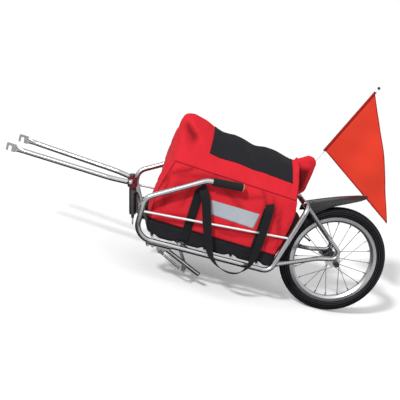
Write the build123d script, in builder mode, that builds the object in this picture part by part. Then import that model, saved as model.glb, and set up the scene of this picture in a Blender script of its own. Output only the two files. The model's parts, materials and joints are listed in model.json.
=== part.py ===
from build123d import *
import os
from math import atan2, cos, degrees, hypot, pi, radians, sin, tan

os.makedirs("parts", exist_ok=True)

# Frame of the part: the origin is on the road under the wheel axle, X runs to the rear, Y to the right, Z up.
# All sizes are in millimetres.

# Wheel, a 16 inch size
wheel_radius = 197.0
tyre_half_width = 22.0
tyre_core_radius = 175.0
rim_edge_radius = 162.0
rim_inner_radius = 143.0
rim_half_width = 13.4
rim_wall = 1.8
spoke_count = 20
spoke_radius = 1.1
flange_radius = 22.0
flange_hole_radius = 17.5
flange_y = 27.0
axle_radius = 5.0
dropout_y = 52.0
dropout_thick = 4.0

# Frame tubes
tube_radius = 9.5
tube_wall = 1.5
stay_radius = 8.0
rod_radius = 4.3
rail_z = 136.0
rail_y = 150.0
front_bottom_x = -745.0
rear_bottom_x = -256.0
front_top = (-752.0, 176.0, 284.0)
handle_knee = (-569.0, 170.0, 394.0)
handle_end = (-445.0, 170.0, 403.5)
top_corner = (-193.0, 138.0, 387.0)
cross_joint_y = 100.0
front_cross = (-752.0, 248.0)
floor_rod_radius = 5.0
floor_rod_x = (-685.0, -590.0, -495.0, -400.0, -305.0)
stay_upper_knee = (-62.0, 56.0, 285.8)
stay_bend = (23.4, 52.0, 219.8)
stay_lower_knee = (-75.0, 56.0, 199.1)
stay_bends = [60.0, 22.0, 60.0]

# Hitch
pivot_lean = 16.4
pivot_point = (-765.5, 0.0, 217.5)
head_length = 80.0
head_radius = 12.5
head_bore = 8.6
steerer_radius = 8.0
bush_gap = 0.05
hitch_yaw = -16.4
tine_rise = 14.9
tine_reach = 432.0
tine_radius = 9.0
tine_root_y = 30.0
tine_knee = (70.0, 47.4)
hook_spacing = 130.0
hook_thick = 5.0
hook_slot_radius = 6.5
crown_height = 71.2

# Stand
stand_pivot = (-638.0, 118.0)
stand_foot = (-486.0, 52.0)
stand_y = 118.0
leg_radius = 7.5
stand_bar_reach = 103.0
bolt_radius = 3.0
bolt_corner = 5.7
plate_thick = 2.9
running_gap = 0.06

# Flag
pole_radius = 3.25
pole_y = 157.0
pole_low = (-210.0, 326.0)
pole_high = (1.0, 819.0)
flag_hoist = 276.0
flag_fly = 366.0

# Bag
bag_half_width = 138.0
bag_floor_z = 156.0
base_top_z = 205.0
webbing_width = 30.0
webbing_thick = 2.6
soft_gap = 0.4


def save(made, label):
    made.part.label = label
    export_step(made.part, "parts/" + label + ".step")


def flip_y(point):
    return (point[0], -point[1], point[2])


def bent_bar(points, bends, outer, inner=0.0):
    """A round bar or tube along straight runs joined by arcs."""
    with BuildPart() as made:
        with BuildLine() as route:
            if bends:
                FilletPolyline(*points, radius=bends)
            else:
                Line(*points)
        with BuildSketch(Plane(route.line @ 0, z_dir=route.line % 0)):
            Circle(outer)
            if inner:
                Circle(inner, mode=Mode.SUBTRACT)
        sweep()
    return made.part


def cross_bar(x, z, y0, y1, outer, inner=0.0):
    """A straight bar or tube that runs across the trailer."""
    return bent_bar([(x, y0, z), (x, y1, z)], None, outer, inner)


def build(label, *solids, cut=()):
    """One node from ready solids, less the solids that it is notched to fit."""
    with BuildPart() as made:
        for solid in solids:
            add(solid)
        for tool in cut:
            add(tool, mode=Mode.SUBTRACT)
    save(made, label)
    return made.part


def both_sides(name, left_solid):
    """The left piece and its mirror image, each as a node of its own."""
    left = build("left_" + name, left_solid)
    right = build("right_" + name, mirror(left_solid, about=Plane.XZ))
    return left, right


# Side tubes: grip, handle, front upright, floor rail and rear upright in one bend
left_route = [
    flip_y(handle_end),
    flip_y(handle_knee),
    flip_y(front_top),
    (front_bottom_x, -rail_y, rail_z),
    (rear_bottom_x, -rail_y, rail_z),
    flip_y(top_corner),
    (top_corner[0], -cross_joint_y, top_corner[2]),
]
side_bends = [60.0, 40.0, 62.0, 35.0, 24.0]
left_bar = bent_bar(left_route, side_bends, tube_radius)
right_bar = mirror(left_bar, about=Plane.XZ)
both_sides("side_tube", bent_bar(left_route, side_bends, tube_radius, tube_radius - tube_wall))

rear_cross_bar = cross_bar(top_corner[0], top_corner[2], -cross_joint_y, cross_joint_y, tube_radius)
build("rear_cross_tube", cross_bar(top_corner[0], top_corner[2], -cross_joint_y, cross_joint_y,
                                   tube_radius, tube_radius - tube_wall))

# Head tube on the leaning pivot axis, and the gusset plate that ties it to the front cross tube
lean = radians(pivot_lean)
pivot_axis = Vector(-sin(lean), 0, cos(lean))
ahead = Vector(-cos(lean), 0, -sin(lean))
pivot_plane = Plane(pivot_point, x_dir=ahead, z_dir=pivot_axis)

with BuildPart() as head_bar:
    with BuildSketch(pivot_plane):
        Circle(head_radius)
    extrude(amount=head_length / 2, both=True)

front_reach = 163.0
front_cross_bar = cross_bar(*front_cross, -front_reach, front_reach, tube_radius)
build("front_cross_tube",
      cross_bar(*front_cross, -front_reach, front_reach, tube_radius, tube_radius - tube_wall),
      cut=(left_bar, right_bar, head_bar.part))

with BuildPart() as head_tube:
    with BuildSketch(Plane.XZ):
        with BuildLine():
            Polyline((-764, 240), (-750, 187), (-741, 187), (-736, 205), (-743, 248), close=True)
        make_face()
    extrude(amount=3, both=True)
    add(head_bar.part)
    add(front_cross_bar, mode=Mode.SUBTRACT)
    with BuildSketch(pivot_plane):
        Circle(head_bore)
    extrude(amount=head_length, both=True, mode=Mode.SUBTRACT)
save(head_tube, "head_tube")

# Thin rods along the sides and the rods of the floor
rod_ends = [(-749.0, -167.0, 234.0), (-224.0, -144.0, 267.0)]
with BuildPart() as left_rod:
    add(bent_bar(rod_ends, None, rod_radius))
    add(left_bar, mode=Mode.SUBTRACT)
left_rod_bar = left_rod.part
both_sides("side_rod", left_rod_bar)

rod_height = rail_z + tube_radius + floor_rod_radius
build("floor_rods", *[cross_bar(x, rod_height, -rail_y, rail_y, floor_rod_radius) for x in floor_rod_x])

# Stays from the top corner to the wheel, round and forward again to the upright
stay_route = [
    (top_corner[0], -133.0, top_corner[2]),
    flip_y(stay_upper_knee),
    flip_y(stay_bend),
    flip_y(stay_lower_knee),
    (-246.0, -146.0, 163.0),
]
left_stay_bar = bent_bar(stay_route, stay_bends, stay_radius)
with BuildPart() as left_stay:
    add(bent_bar(stay_route, stay_bends, stay_radius, stay_radius - tube_wall))
    add(left_bar, mode=Mode.SUBTRACT)
left_stay_solid = left_stay.part.solids().sort_by(SortBy.VOLUME)[-1]
both_sides("wheel_stay", left_stay_solid)

# Dropout plates under the bend of the stays
with BuildPart() as left_dropout:
    with BuildSketch(Plane.XZ.offset(dropout_y)):
        with BuildLine():
            Polyline((-44, 212), (-40, 191), (-14, 182), (10, 184), (14, 200), (4, 228), close=True)
        make_face()
        fillet(vertices().group_by(Axis.Y)[0], radius=5)
        with Locations((0, wheel_radius)):
            Circle(axle_radius + 0.1, mode=Mode.SUBTRACT)
    extrude(amount=dropout_thick / 2, both=True)
    add(left_stay_bar, mode=Mode.SUBTRACT)
left_plate = left_dropout.part.solids().sort_by(SortBy.VOLUME)[-1]
build("dropouts", left_plate, mirror(left_plate, about=Plane.XZ))

# Hitch fork, turned about the pivot as in use on a bend
turned_ahead = ahead.rotate(Axis((0, 0, 0), pivot_axis), hitch_yaw)
fork_plane = Plane(pivot_point, x_dir=turned_ahead, z_dir=pivot_axis)
fork_side = fork_plane.y_dir
fork_up = fork_plane.z_dir
tine_dir = fork_plane.x_dir * cos(radians(tine_rise)) + fork_up * sin(radians(tine_rise))
tine_normal = fork_up * cos(radians(tine_rise)) - fork_plane.x_dir * sin(radians(tine_rise))
crown_point = fork_plane.origin + fork_up * crown_height


def on_fork(reach, side, rise=0.0):
    """A point given along, beside and above the sloping plane of the tines."""
    return crown_point + tine_dir * reach + fork_side * side + tine_normal * rise


def pin_along(start, direction, length, radius, bore=0.0):
    """A round pin or ring that starts at a point and runs along a direction."""
    with BuildPart() as made:
        with BuildSketch(Plane(start, z_dir=direction)):
            Circle(radius)
            if bore:
                Circle(bore, mode=Mode.SUBTRACT)
        extrude(amount=length)
    return made.part


def pivot_height(height):
    return fork_plane.origin + fork_up * height


steerer_bar = pin_along(pivot_height(-64), fork_up, 64 + crown_height + 20, steerer_radius)
with BuildPart() as steerer:
    add(pin_along(pivot_height(crown_height + 20), fork_up, 4, 10.0))
    fillet(edges().filter_by(GeomType.CIRCLE).sort_by(Axis(pivot_point, pivot_axis))[-1], radius=2)
    add(pin_along(pivot_height(-52), fork_up, 52 + crown_height + 20, steerer_radius))
    add(pin_along(pivot_height(-64), fork_up, 12, 5.0))
    add(pin_along(pivot_height(-58.5) - fork_side * 10, fork_side, 20, 1.5))
save(steerer, "steerer")

crown_half = 40.0
crown_rod = pin_along(on_fork(0, -crown_half), fork_side, 2 * crown_half, 11.0)
build("crown_bar", crown_rod, cut=(steerer_bar,))

with BuildPart() as crown_clamp:
    with BuildSketch(fork_plane.offset(crown_height - 21)):
        RectangleRounded(32, 25, 5)
    extrude(amount=36)
    add(pin_along(pivot_height(head_length / 2 + 2.3), fork_up, 12, 12.0))
    add(crown_rod, mode=Mode.SUBTRACT)
    add(steerer_bar, mode=Mode.SUBTRACT)
save(crown_clamp, "crown_clamp")

# Bushes of the head tube and the nut under it
with BuildPart() as head_bushes:
    for end, way in ((head_length / 2, 1), (-head_length / 2, -1)):
        inward = fork_up * -way
        add(pin_along(pivot_height(end), inward, 14, head_bore - 0.02, steerer_radius + bush_gap))
        add(pin_along(pivot_height(end), inward * -1, 2, head_radius, steerer_radius + bush_gap))
save(head_bushes, "head_bushes")

with BuildPart() as collar_nut:
    with BuildSketch(Plane(pivot_height(-head_length / 2 - 2.3), z_dir=fork_up * -1)):
        RegularPolygon(12, 6)
        Circle(steerer_radius + 0.02, mode=Mode.SUBTRACT)
    extrude(amount=8)
save(collar_nut, "collar_nut")

# Wire bail that hangs on the cross pin of the steerer
bail_half = 7.5
with BuildPart() as pin_bail:
    for side in (1, -1):
        hinge_point = pivot_height(-58.5) + fork_side * side * (bail_half - 0.9)
        add(pin_along(hinge_point, fork_side * side, 1.8, 4.0, 1.5 + running_gap))
    bail_route = [
        pivot_height(-61.8) + fork_side * bail_half,
        pivot_height(-88) + fork_side * bail_half,
        pivot_height(-88) - fork_side * bail_half,
        pivot_height(-61.8) - fork_side * bail_half,
    ]
    add(bent_bar(bail_route, [7.0, 7.0], 1.2))
save(pin_bail, "pin_bail")

# Tines and the hooks that drop over the ends of the bicycle's axle
tine_end = tine_reach - 52.0
hook_tail = tine_reach - 20.0
knee_slope = (hook_spacing / 2 - tine_knee[1]) / (tine_reach - tine_knee[0])
for name, side in (("left", 1), ("right", -1)):
    def spread(reach):
        return side * (tine_knee[1] + knee_slope * (reach - tine_knee[0]))

    route = [on_fork(9, side * tine_root_y), on_fork(tine_knee[0], side * tine_knee[1]),
             on_fork(tine_end, spread(tine_end))]
    run = (route[2] - route[1]).normalized()
    tail = on_fork(hook_tail, spread(hook_tail))
    with BuildPart() as tine:
        add(bent_bar(route, [120.0], tine_radius, tine_radius - tube_wall))
        with BuildSketch(Plane(route[2], x_dir=tine_normal, z_dir=run)):
            Circle(tine_radius)
        with BuildSketch(Plane(tail, x_dir=tine_normal, z_dir=run)):
            RectangleRounded(21, hook_thick + 0.2, 2.4)
        loft()
        add(crown_rod, mode=Mode.SUBTRACT)
    save(tine, name + "_tine")

    hook_plane = Plane(on_fork(tine_reach, side * hook_spacing / 2), x_dir=tine_dir, z_dir=fork_side)
    with BuildPart() as hook:
        with BuildSketch(hook_plane):
            with Locations((-4, 0)):
                RectangleRounded(35, 27, 3)
            Circle(hook_slot_radius, mode=Mode.SUBTRACT)
            slot_side = 1 if hook_plane.y_dir.dot(tine_normal) < 0 else -1
            with Locations((0, slot_side * 10)):
                Rectangle(2 * hook_slot_radius, 20, mode=Mode.SUBTRACT)
        extrude(amount=hook_thick / 2, both=True)
        add(tine.part, mode=Mode.SUBTRACT)
    save(hook, name + "_hook")

# Wheel
wheel_centre = Vector(0, 0, wheel_radius)
wheel_plane = Plane(wheel_centre, x_dir=(0, 1, 0), z_dir=(1, 0, 0))
wheel_axis = Axis(wheel_centre, (0, 1, 0))
with BuildPart() as tyre:
    with BuildSketch(wheel_plane):
        with BuildLine():
            Polyline((-11.4, 161), (-11.6, 162.3), (-13, 162.4))
            ThreePointArc((-13, 162.4), (-tyre_half_width, tyre_core_radius), (-15, 190))
            Polyline((-15, 190), (-13, 194.6), (-5.2, wheel_radius), (-4.6, wheel_radius - 2.2),
                     (-3, wheel_radius - 2.2), (-2.4, wheel_radius), (2.4, wheel_radius),
                     (3, wheel_radius - 2.2), (4.6, wheel_radius - 2.2), (5.2, wheel_radius),
                     (13, 194.6), (15, 190))
            ThreePointArc((15, 190), (tyre_half_width, tyre_core_radius), (13, 162.4))
            Polyline((13, 162.4), (11.6, 162.3), (11.4, 161), (11.4, 155), (8.6, 155), (9, 162))
            ThreePointArc((9, 162), (0, 192), (-9, 162))
            Polyline((-9, 162), (-8.6, 155), (-11.4, 155), (-11.4, 161))
        make_face()
    revolve(axis=wheel_axis)
save(tyre, "tyre")

with BuildPart() as inner_tube:
    with BuildSketch(wheel_plane):
        with Locations((0, tyre_core_radius)):
            Circle(14)
            Circle(13, mode=Mode.SUBTRACT)
    revolve(axis=wheel_axis)
save(inner_tube, "inner_tube")

with BuildPart() as rim:
    with BuildSketch(wheel_plane):
        with BuildLine():
            Polyline((-rim_half_width, rim_edge_radius), (-rim_half_width + 1.6, rim_edge_radius),
                     (-11.6, 152), (-6, 149), (6, 149), (11.6, 152),
                     (rim_half_width - 1.6, rim_edge_radius), (rim_half_width, rim_edge_radius),
                     (rim_half_width, 150.5), (8, rim_inner_radius), (-8, rim_inner_radius),
                     (-rim_half_width, 150.5), close=True)
        make_face()
    revolve(axis=wheel_axis)
save(rim, "rim")

# Hub, bearings, spokes and nipples
hub_profile = [(7.2, -33), (9, -33), (9, -30), (13, -flange_y - 2), (flange_radius, -flange_y - 1.5),
               (flange_radius, -flange_y + 1.5), (13, -flange_y + 3), (10, -15), (10, 15),
               (13, flange_y - 3), (flange_radius, flange_y - 1.5), (flange_radius, flange_y + 1.5),
               (13, flange_y + 2), (9, 30), (9, 33), (7.2, 33)]
nipple_length = 12.0
spoke_foot = rim_inner_radius - nipple_length + 1.0
spoke_lean = 68
outer_elbow, inner_elbow = 5.6, 3.8


def spoke_ends(number):
    """Elbow at the hub flange, foot at the rim, side of the wheel and the way the spoke leaves the flange."""
    side = 1 if number % 2 else -1
    sweep_way = 1 if number % 4 < 2 else -1
    rim_angle = 2 * pi * (number + 0.5) / spoke_count
    hub_angle = rim_angle + sweep_way * radians(spoke_lean)
    elbow_y = flange_y + (outer_elbow if sweep_way > 0 else -inner_elbow)
    elbow = Vector(flange_hole_radius * cos(hub_angle), side * elbow_y, flange_hole_radius * sin(hub_angle))
    foot = Vector(spoke_foot * cos(rim_angle), side * 3.5, spoke_foot * sin(rim_angle))
    return wheel_centre + elbow, wheel_centre + foot, side, sweep_way


with BuildPart() as hub_shell:
    with BuildSketch(wheel_plane):
        with BuildLine():
            Polyline(*[(y, radius) for radius, y in hub_profile], close=True)
        make_face()
    revolve(axis=wheel_axis)
    for number in range(spoke_count):
        elbow, foot, side, sweep_way = spoke_ends(number)
        hole_start = Vector(elbow.X, side * (flange_y - 4), elbow.Z)
        add(pin_along(hole_start, (0, side, 0), 8, spoke_radius + 0.15), mode=Mode.SUBTRACT)
save(hub_shell, "hub_shell")

with BuildPart() as hub_bearings:
    for y in (-33, 26):
        add(cross_bar(0, wheel_radius, y, y + 7, 7.15, axle_radius + running_gap))
save(hub_bearings, "hub_bearings")

with BuildPart() as spokes:
    for number in range(spoke_count):
        elbow, foot, side, sweep_way = spoke_ends(number)
        add(pin_along(elbow, foot - elbow, (foot - elbow).length, spoke_radius))
        across = (outer_elbow if sweep_way > 0 else inner_elbow) + 2.4
        add(pin_along(elbow, (0, -side * sweep_way, 0), across, spoke_radius))
save(spokes, "spokes")

with BuildPart() as nipples:
    for number in range(spoke_count):
        side = 1 if number % 2 else -1
        rim_angle = 2 * pi * (number + 0.5) / spoke_count
        outward = Vector(cos(rim_angle), 0, sin(rim_angle))
        foot = outward * (spoke_foot + 0.5) + Vector(0, side * 3.5, 0)
        add(pin_along(wheel_centre + foot, outward, nipple_length - 2.0, 2.2))
save(nipples, "nipples")

valve_angle = radians(157)
valve_out = Vector(-cos(valve_angle), 0, -sin(valve_angle))
valve_root = wheel_centre - valve_out * (rim_inner_radius - 0.3)
build("valve_stem", pin_along(valve_root, valve_out, 20, 2.8))
build("valve_cap", pin_along(valve_root + valve_out * 20, valve_out, 11, 3.6))

# Axle, fixed between the dropouts, with its spacers, washers, nuts and caps
build("axle", cross_bar(0, wheel_radius, -65, 65, axle_radius))


def pair_at_hub(label, y0, y1, outer, inner):
    """The same ring on both sides of the wheel."""
    ring = cross_bar(0, wheel_radius, y0, y1, outer, inner)
    return build(label, ring, mirror(ring, about=Plane.XZ))


plate_outer = dropout_y + dropout_thick / 2
pair_at_hub("axle_spacers", 33.4, dropout_y - dropout_thick / 2, 8.0, axle_radius + 0.02)


def hex_across(x, z, y0, y1, corner_radius, bore):
    """A hexagonal nut or bolt head whose axis runs across the trailer."""
    with BuildPart() as made:
        with BuildSketch(Plane.XZ.offset(-y0)):
            with Locations((x, z)):
                RegularPolygon(corner_radius, 6)
                if bore:
                    Circle(bore, mode=Mode.SUBTRACT)
        extrude(amount=y0 - y1)
    return made.part


axle_nut = hex_across(0, wheel_radius, plate_outer + 1.5, plate_outer + 9, 8.6, axle_radius + 0.02)
axle_washer = cross_bar(0, wheel_radius, plate_outer, plate_outer + 1.5, 10.0, axle_radius + 0.02)
with BuildPart() as flanged_nut:
    add(axle_nut)
    add(axle_washer)
build("axle_nuts", flanged_nut.part, mirror(flanged_nut.part, about=Plane.XZ))
with BuildPart() as nut_cap:
    add(cross_bar(0, wheel_radius, plate_outer + 3, plate_outer + 14, 10.0))
    fillet(edges().filter_by(GeomType.CIRCLE).sort_by(Axis.Y)[-1], radius=3)
    add(cross_bar(0, wheel_radius, plate_outer + 3, plate_outer + 11.5, 8.7), mode=Mode.SUBTRACT)
build("nut_caps", nut_cap.part, mirror(nut_cap.part, about=Plane.XZ))

# Mudguard, a straight wedge with skirts, deep at its front end
guard_half = 31.0
guard_top = [(-172, 372), (-51, 423), (45, 456)]
guard_foot = [(46, 450), (-25, 415), (-84, 385), (-135, 344), (-172, 334)]
guard_slope = radians(24.0)
guard_square = Vector(-sin(guard_slope), 0, cos(guard_slope))
guard_seats = [Vector(-158, 0, 378.6), Vector(-140, 0, 386.7)]


def guard_solid(half_width, drop, end_gap, corner):
    """The wedge without its hollow; the inner one is shifted down to leave the wall."""
    with BuildPart() as made:
        with BuildSketch(Plane.XZ):
            with BuildLine():
                top = [(x - end_gap, z - drop) for x, z in guard_top]
                foot = [(x - end_gap, z - 12 * drop) for x, z in guard_foot]
                ThreePointArc(*top)
                Polyline(top[-1], *foot, top[0])
            make_face()
        extrude(amount=half_width, both=True)
        upper = [edge for edge in edges().filter_by(GeomType.CIRCLE) if edge.center().Z > 380]
        fillet(upper, radius=corner)
    return made.part


with BuildPart() as mudguard:
    add(guard_solid(guard_half, 0, 0, 13))
    with BuildSketch(Plane.XY):
        with Locations((-64, 0)):
            Rectangle(221, 2 * guard_half)
        fillet(vertices().group_by(Axis.X)[-1], radius=24)
    extrude(amount=600, mode=Mode.INTERSECT)
    add(guard_solid(guard_half - 2.4, 2.6, 2.4, 10.6), mode=Mode.SUBTRACT)
    for seat in guard_seats:
        add(pin_along(seat - guard_square * 30, guard_square, 60, 2.6), mode=Mode.SUBTRACT)
save(mudguard, "mudguard")

with BuildPart() as guard_bracket:
    with BuildSketch(Plane.XZ):
        with BuildLine():
            Polyline((-190, 377), (-174, 365.5), (-128, 385.6), (-129.5, 388.8), (-172.5, 369.6),
                     (-186, 380), close=True)
        make_face()
    extrude(amount=12, both=True)
    add(rear_cross_bar, mode=Mode.SUBTRACT)
    for seat in guard_seats:
        add(pin_along(seat - guard_square * 30, guard_square, 60, 2.6), mode=Mode.SUBTRACT)
save(guard_bracket, "guard_bracket")

with BuildPart() as guard_bolts:
    for seat in guard_seats:
        add(pin_along(seat, guard_square * -1, 11, 2.5))
        add(pin_along(seat, guard_square, 2.6, 4.5))
save(guard_bolts, "guard_bolts")

# Stand brackets under the rails, with their bolts
rail_bottom = rail_z - tube_radius
plate_z = rail_bottom - plate_thick - 0.1
pin_x, pin_z = -640.0, 101.0
with BuildPart() as left_bracket:
    with BuildSketch(Plane.XY.offset(plate_z)):
        with Locations((-656, -145.5)):
            RectangleRounded(88, 35, 4)
        with Locations((-693, -rail_y), (-675, -rail_y)):
            Circle(3.1, mode=Mode.SUBTRACT)
    extrude(amount=plate_thick)
    with BuildSketch(Plane.XZ.offset(128)):
        with BuildLine():
            Polyline((-662, plate_z + plate_thick), (-616, plate_z + plate_thick), (-622, 108), (-633, 94),
                     (-647, 94), (-656, 108), close=True)
        make_face()
        with Locations(stand_pivot):
            Circle(bolt_radius + running_gap, mode=Mode.SUBTRACT)
    extrude(amount=3)
    add(cross_bar(pin_x, pin_z, -141, -130, 2.0))
both_sides("stand_bracket", left_bracket.part)

with BuildPart() as bracket_bolts:
    for x in (-693, -675):
        with BuildSketch(Plane.XY.offset(plate_z)):
            with Locations((x, -rail_y)):
                RegularPolygon(6.5, 6)
        extrude(amount=-5)
        add(pin_along((x, -rail_y, plate_z - 8), (0, 0, 1), 16, 3.0))
    add(left_bar, mode=Mode.SUBTRACT)
build("bracket_bolts", bracket_bolts.part, mirror(bracket_bolts.part, about=Plane.XZ))

with BuildPart() as pivot_bolt:
    add(hex_across(*stand_pivot, -134.8, -131, bolt_corner, 0))
    add(cross_bar(*stand_pivot, -131, -103, bolt_radius))
    add(cross_bar(*stand_pivot, -127.9, -125.7, 7.0))
    add(hex_across(*stand_pivot, -110.3, -105.5, bolt_corner, 0))
build("stand_pivot_bolts", pivot_bolt.part, mirror(pivot_bolt.part, about=Plane.XZ))

# Stand: two legs joined by a bar, folded back under the floor
leg_run = Vector(stand_foot[0] - stand_pivot[0], 0, stand_foot[1] - stand_pivot[1])
leg_length = leg_run.length
leg_dir = leg_run.normalized()
pivot_left = Vector(stand_pivot[0], -stand_y, stand_pivot[1])
leg_start = pivot_left - leg_dir * 12
left_leg_bar = pin_along(leg_start, leg_dir, leg_length + 12, leg_radius)
with BuildPart() as right_leg:
    add(mirror(left_leg_bar, about=Plane.XZ))
    hollow = pin_along(leg_start, leg_dir, leg_length + 12, leg_radius - tube_wall)
    add(mirror(hollow, about=Plane.XZ), mode=Mode.SUBTRACT)
    add(cross_bar(*stand_pivot, 100, 140, bolt_radius + running_gap), mode=Mode.SUBTRACT)
save(right_leg, "right_stand_leg")

bar_point = pivot_left + leg_dir * stand_bar_reach
build("stand_cross_bar", cross_bar(bar_point.X, bar_point.Z, -stand_y, stand_y, 6.0, 4.7),
      cut=(left_leg_bar, mirror(left_leg_bar, about=Plane.XZ)))

leg_foot = pivot_left + leg_dir * leg_length
with BuildPart() as foot_plug:
    add(pin_along(leg_foot - leg_dir * 10, leg_dir, 10, leg_radius - tube_wall - 0.05))
    add(pin_along(leg_foot, leg_dir, 2.5, leg_radius))
build("stand_foot_plugs", foot_plug.part, mirror(foot_plug.part, about=Plane.XZ))

# Spring of the stand: it runs from the pin on the left bracket to the pin of the leg's lug
lug_pin = Vector(-543, -136.5, 55)
frame_pin = Vector(pin_x, -136.5, pin_z)
lug_pin_radius = 1.5
with BuildPart() as left_leg:
    with BuildSketch(Plane.XZ.offset(121)):
        with BuildLine():
            Polyline((-556, 84), (-534, 74), (-537, 51), (-548, 51), close=True)
        make_face()
    extrude(amount=3.5)
    add(cross_bar(lug_pin.X, lug_pin.Z, -140, -123, lug_pin_radius))
    add(left_leg_bar)
    add(hollow, mode=Mode.SUBTRACT)
    add(cross_bar(*stand_pivot, -140, -100, bolt_radius + running_gap), mode=Mode.SUBTRACT)
save(left_leg, "left_stand_leg")

spring_line = lug_pin - frame_pin
spring_dir = spring_line.normalized()
spring_length = spring_line.length
spring_side = Vector(0, 1, 0)
spring_up = spring_dir.cross(spring_side)
coil_turns = 24
coil_radius = 3.4
wire_radius = 0.9
coil_start = 13.0
coil_end = 83.0
coil_pitch = (coil_end - coil_start - 6.0) / coil_turns


def coil_point(turn):
    angle = 2 * pi * turn
    around = spring_side * cos(angle) + spring_up * sin(angle)
    return frame_pin + spring_dir * (coil_start + 3.0 + coil_pitch * turn) + around * coil_radius


def coil_tangent(turn):
    angle = 2 * pi * turn
    around = spring_up * cos(angle) - spring_side * sin(angle)
    return (around * (2 * pi * coil_radius) + spring_dir * coil_pitch).normalized()


def biarc(p0, t0, p1, t1):
    """Two arcs that join two points with the given directions at both."""
    chord = p1 - p0
    a = 2 * (t0.dot(t1) - 1)
    b = -2 * chord.dot(t0 + t1)
    c = chord.dot(chord)
    reach = -c / b if abs(a) < 1e-9 else (-b - (b * b - 4 * a * c) ** 0.5) / (2 * a)
    q0 = p0 + t0 * reach
    q1 = p1 - t1 * reach
    middle = (q0 + q1) * 0.5
    TangentArc(p0, middle, tangent=t0)
    TangentArc(middle, p1, tangent=(q1 - q0).normalized())


with BuildPart() as stand_spring:
    with BuildLine() as wire:
        lead_in = coil_point(0) - spring_dir * 3.0
        Line(lead_in, lead_in + spring_dir * 2 * wire_radius)
        biarc(lead_in + spring_dir * 2 * wire_radius, spring_dir, coil_point(0.25), coil_tangent(0.25))
        for step in range(1, 4 * coil_turns - 1):
            biarc(coil_point(step / 4), coil_tangent(step / 4),
                  coil_point((step + 1) / 4), coil_tangent((step + 1) / 4))
        lead_out = coil_point(coil_turns) + spring_dir * 3.0
        biarc(coil_point(coil_turns - 0.25), coil_tangent(coil_turns - 0.25),
              lead_out - spring_dir * 2 * wire_radius, spring_dir)
        Line(lead_out - spring_dir * 2 * wire_radius, lead_out)
    with BuildSketch(Plane(lead_in, z_dir=spring_dir)):
        Circle(wire_radius)
    sweep()
save(stand_spring, "stand_spring")

samples = [wire.line @ (step / 1200) for step in range(1201)]
apart = int(1200 / coil_turns * 0.6)
gaps = [(a - b).length for first, a in enumerate(samples) for b in samples[first + apart:]]
print("stand spring: one solid", len(stand_spring.part.solids()) == 1,
      "least gap to itself", round(min(gaps) - 2 * wire_radius, 2), "mm")

# End plugs of the spring with their eyes; the long eye lets the pin of the stand slide as the stand turns
spring_plane = Plane(frame_pin, x_dir=spring_dir, z_dir=(0, 1, 0))
with BuildPart() as spring_ends:
    for plug, centre, way, eye in ((coil_start - 3, 0, -1, 3.3), (coil_end, spring_length, 1, 4.6)):
        face = plug if way < 0 else plug + 3
        add(pin_along(frame_pin + spring_dir * plug, spring_dir, 3, eye + wire_radius + 0.2))
        with BuildLine(spring_plane) as eye_wire:
            Line((face, eye), (centre, eye))
            ThreePointArc((centre, eye), (centre + way * eye, 0), (centre, -eye))
            Line((centre, -eye), (face, -eye))
        with BuildSketch(Plane(eye_wire.line @ 0, z_dir=eye_wire.line % 0)):
            Circle(wire_radius)
        sweep()
save(spring_ends, "spring_ends")

# Grips and their end plugs
knee_point = Vector(*flip_y(handle_knee))
plug_face = Vector(*flip_y(handle_end))
grip_dir = (plug_face - knee_point).normalized()
grip_start = knee_point + grip_dir * 21
with BuildPart() as left_grip:
    add(pin_along(grip_start, grip_dir, (plug_face - grip_start).length, 14.0, tube_radius + 0.02))
    fillet(edges().filter_by(GeomType.CIRCLE).group_by(SortBy.LENGTH)[-1], radius=3)
both_sides("grip", left_grip.part)
with BuildPart() as grip_plug:
    add(pin_along(plug_face - grip_dir * 12, grip_dir, 12, tube_radius - tube_wall - 0.05))
    add(pin_along(plug_face, grip_dir, 4, 13.0))
build("grip_plugs", grip_plug.part, mirror(grip_plug.part, about=Plane.XZ))

# Flag pole in its socket, clamped to the right rear upright
pole_start = Vector(pole_low[0], pole_y, pole_low[1])
pole_line = Vector(pole_high[0], pole_y, pole_high[1]) - pole_start
pole_dir = pole_line.normalized()
pole_length = pole_line.length
fly_dir = Vector(pole_dir.Z, 0, -pole_dir.X)
pole_foot = 15.0
upright_foot = Vector(rear_bottom_x, rail_y, rail_z)
upright_dir = (Vector(*top_corner) - upright_foot).normalized()
with BuildPart() as flag_socket:
    add(pin_along(pole_start + pole_dir * (pole_foot - 3), pole_dir, 68, 6.0))
    with Locations((-201, 149, 348)):
        Box(13, 16, 15)
    add(pin_along(upright_foot + upright_dir * 211, upright_dir, 16, 12.0))
    add(right_bar, mode=Mode.SUBTRACT)
    add(pin_along(pole_start + pole_dir * pole_foot, pole_dir, 80, pole_radius + running_gap), mode=Mode.SUBTRACT)
save(flag_socket, "flag_socket")

build("flag_pole", pin_along(pole_start + pole_dir * pole_foot, pole_dir, pole_length - pole_foot, pole_radius))
with BuildPart() as pole_tip:
    with Locations(pole_start + pole_dir * (pole_length + 4.5)):
        Sphere(5.5)
    add(pin_along(pole_start, pole_dir, pole_length, 20), mode=Mode.SUBTRACT)
save(pole_tip, "pole_tip")

hem_low = 243.0
build("flag_collars", *[pin_along(pole_start + pole_dir * reach, pole_dir, 3, 5.4, pole_radius + 0.01)
                        for reach in (hem_low - 3.5, hem_low + flag_hoist + 0.5)])

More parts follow.
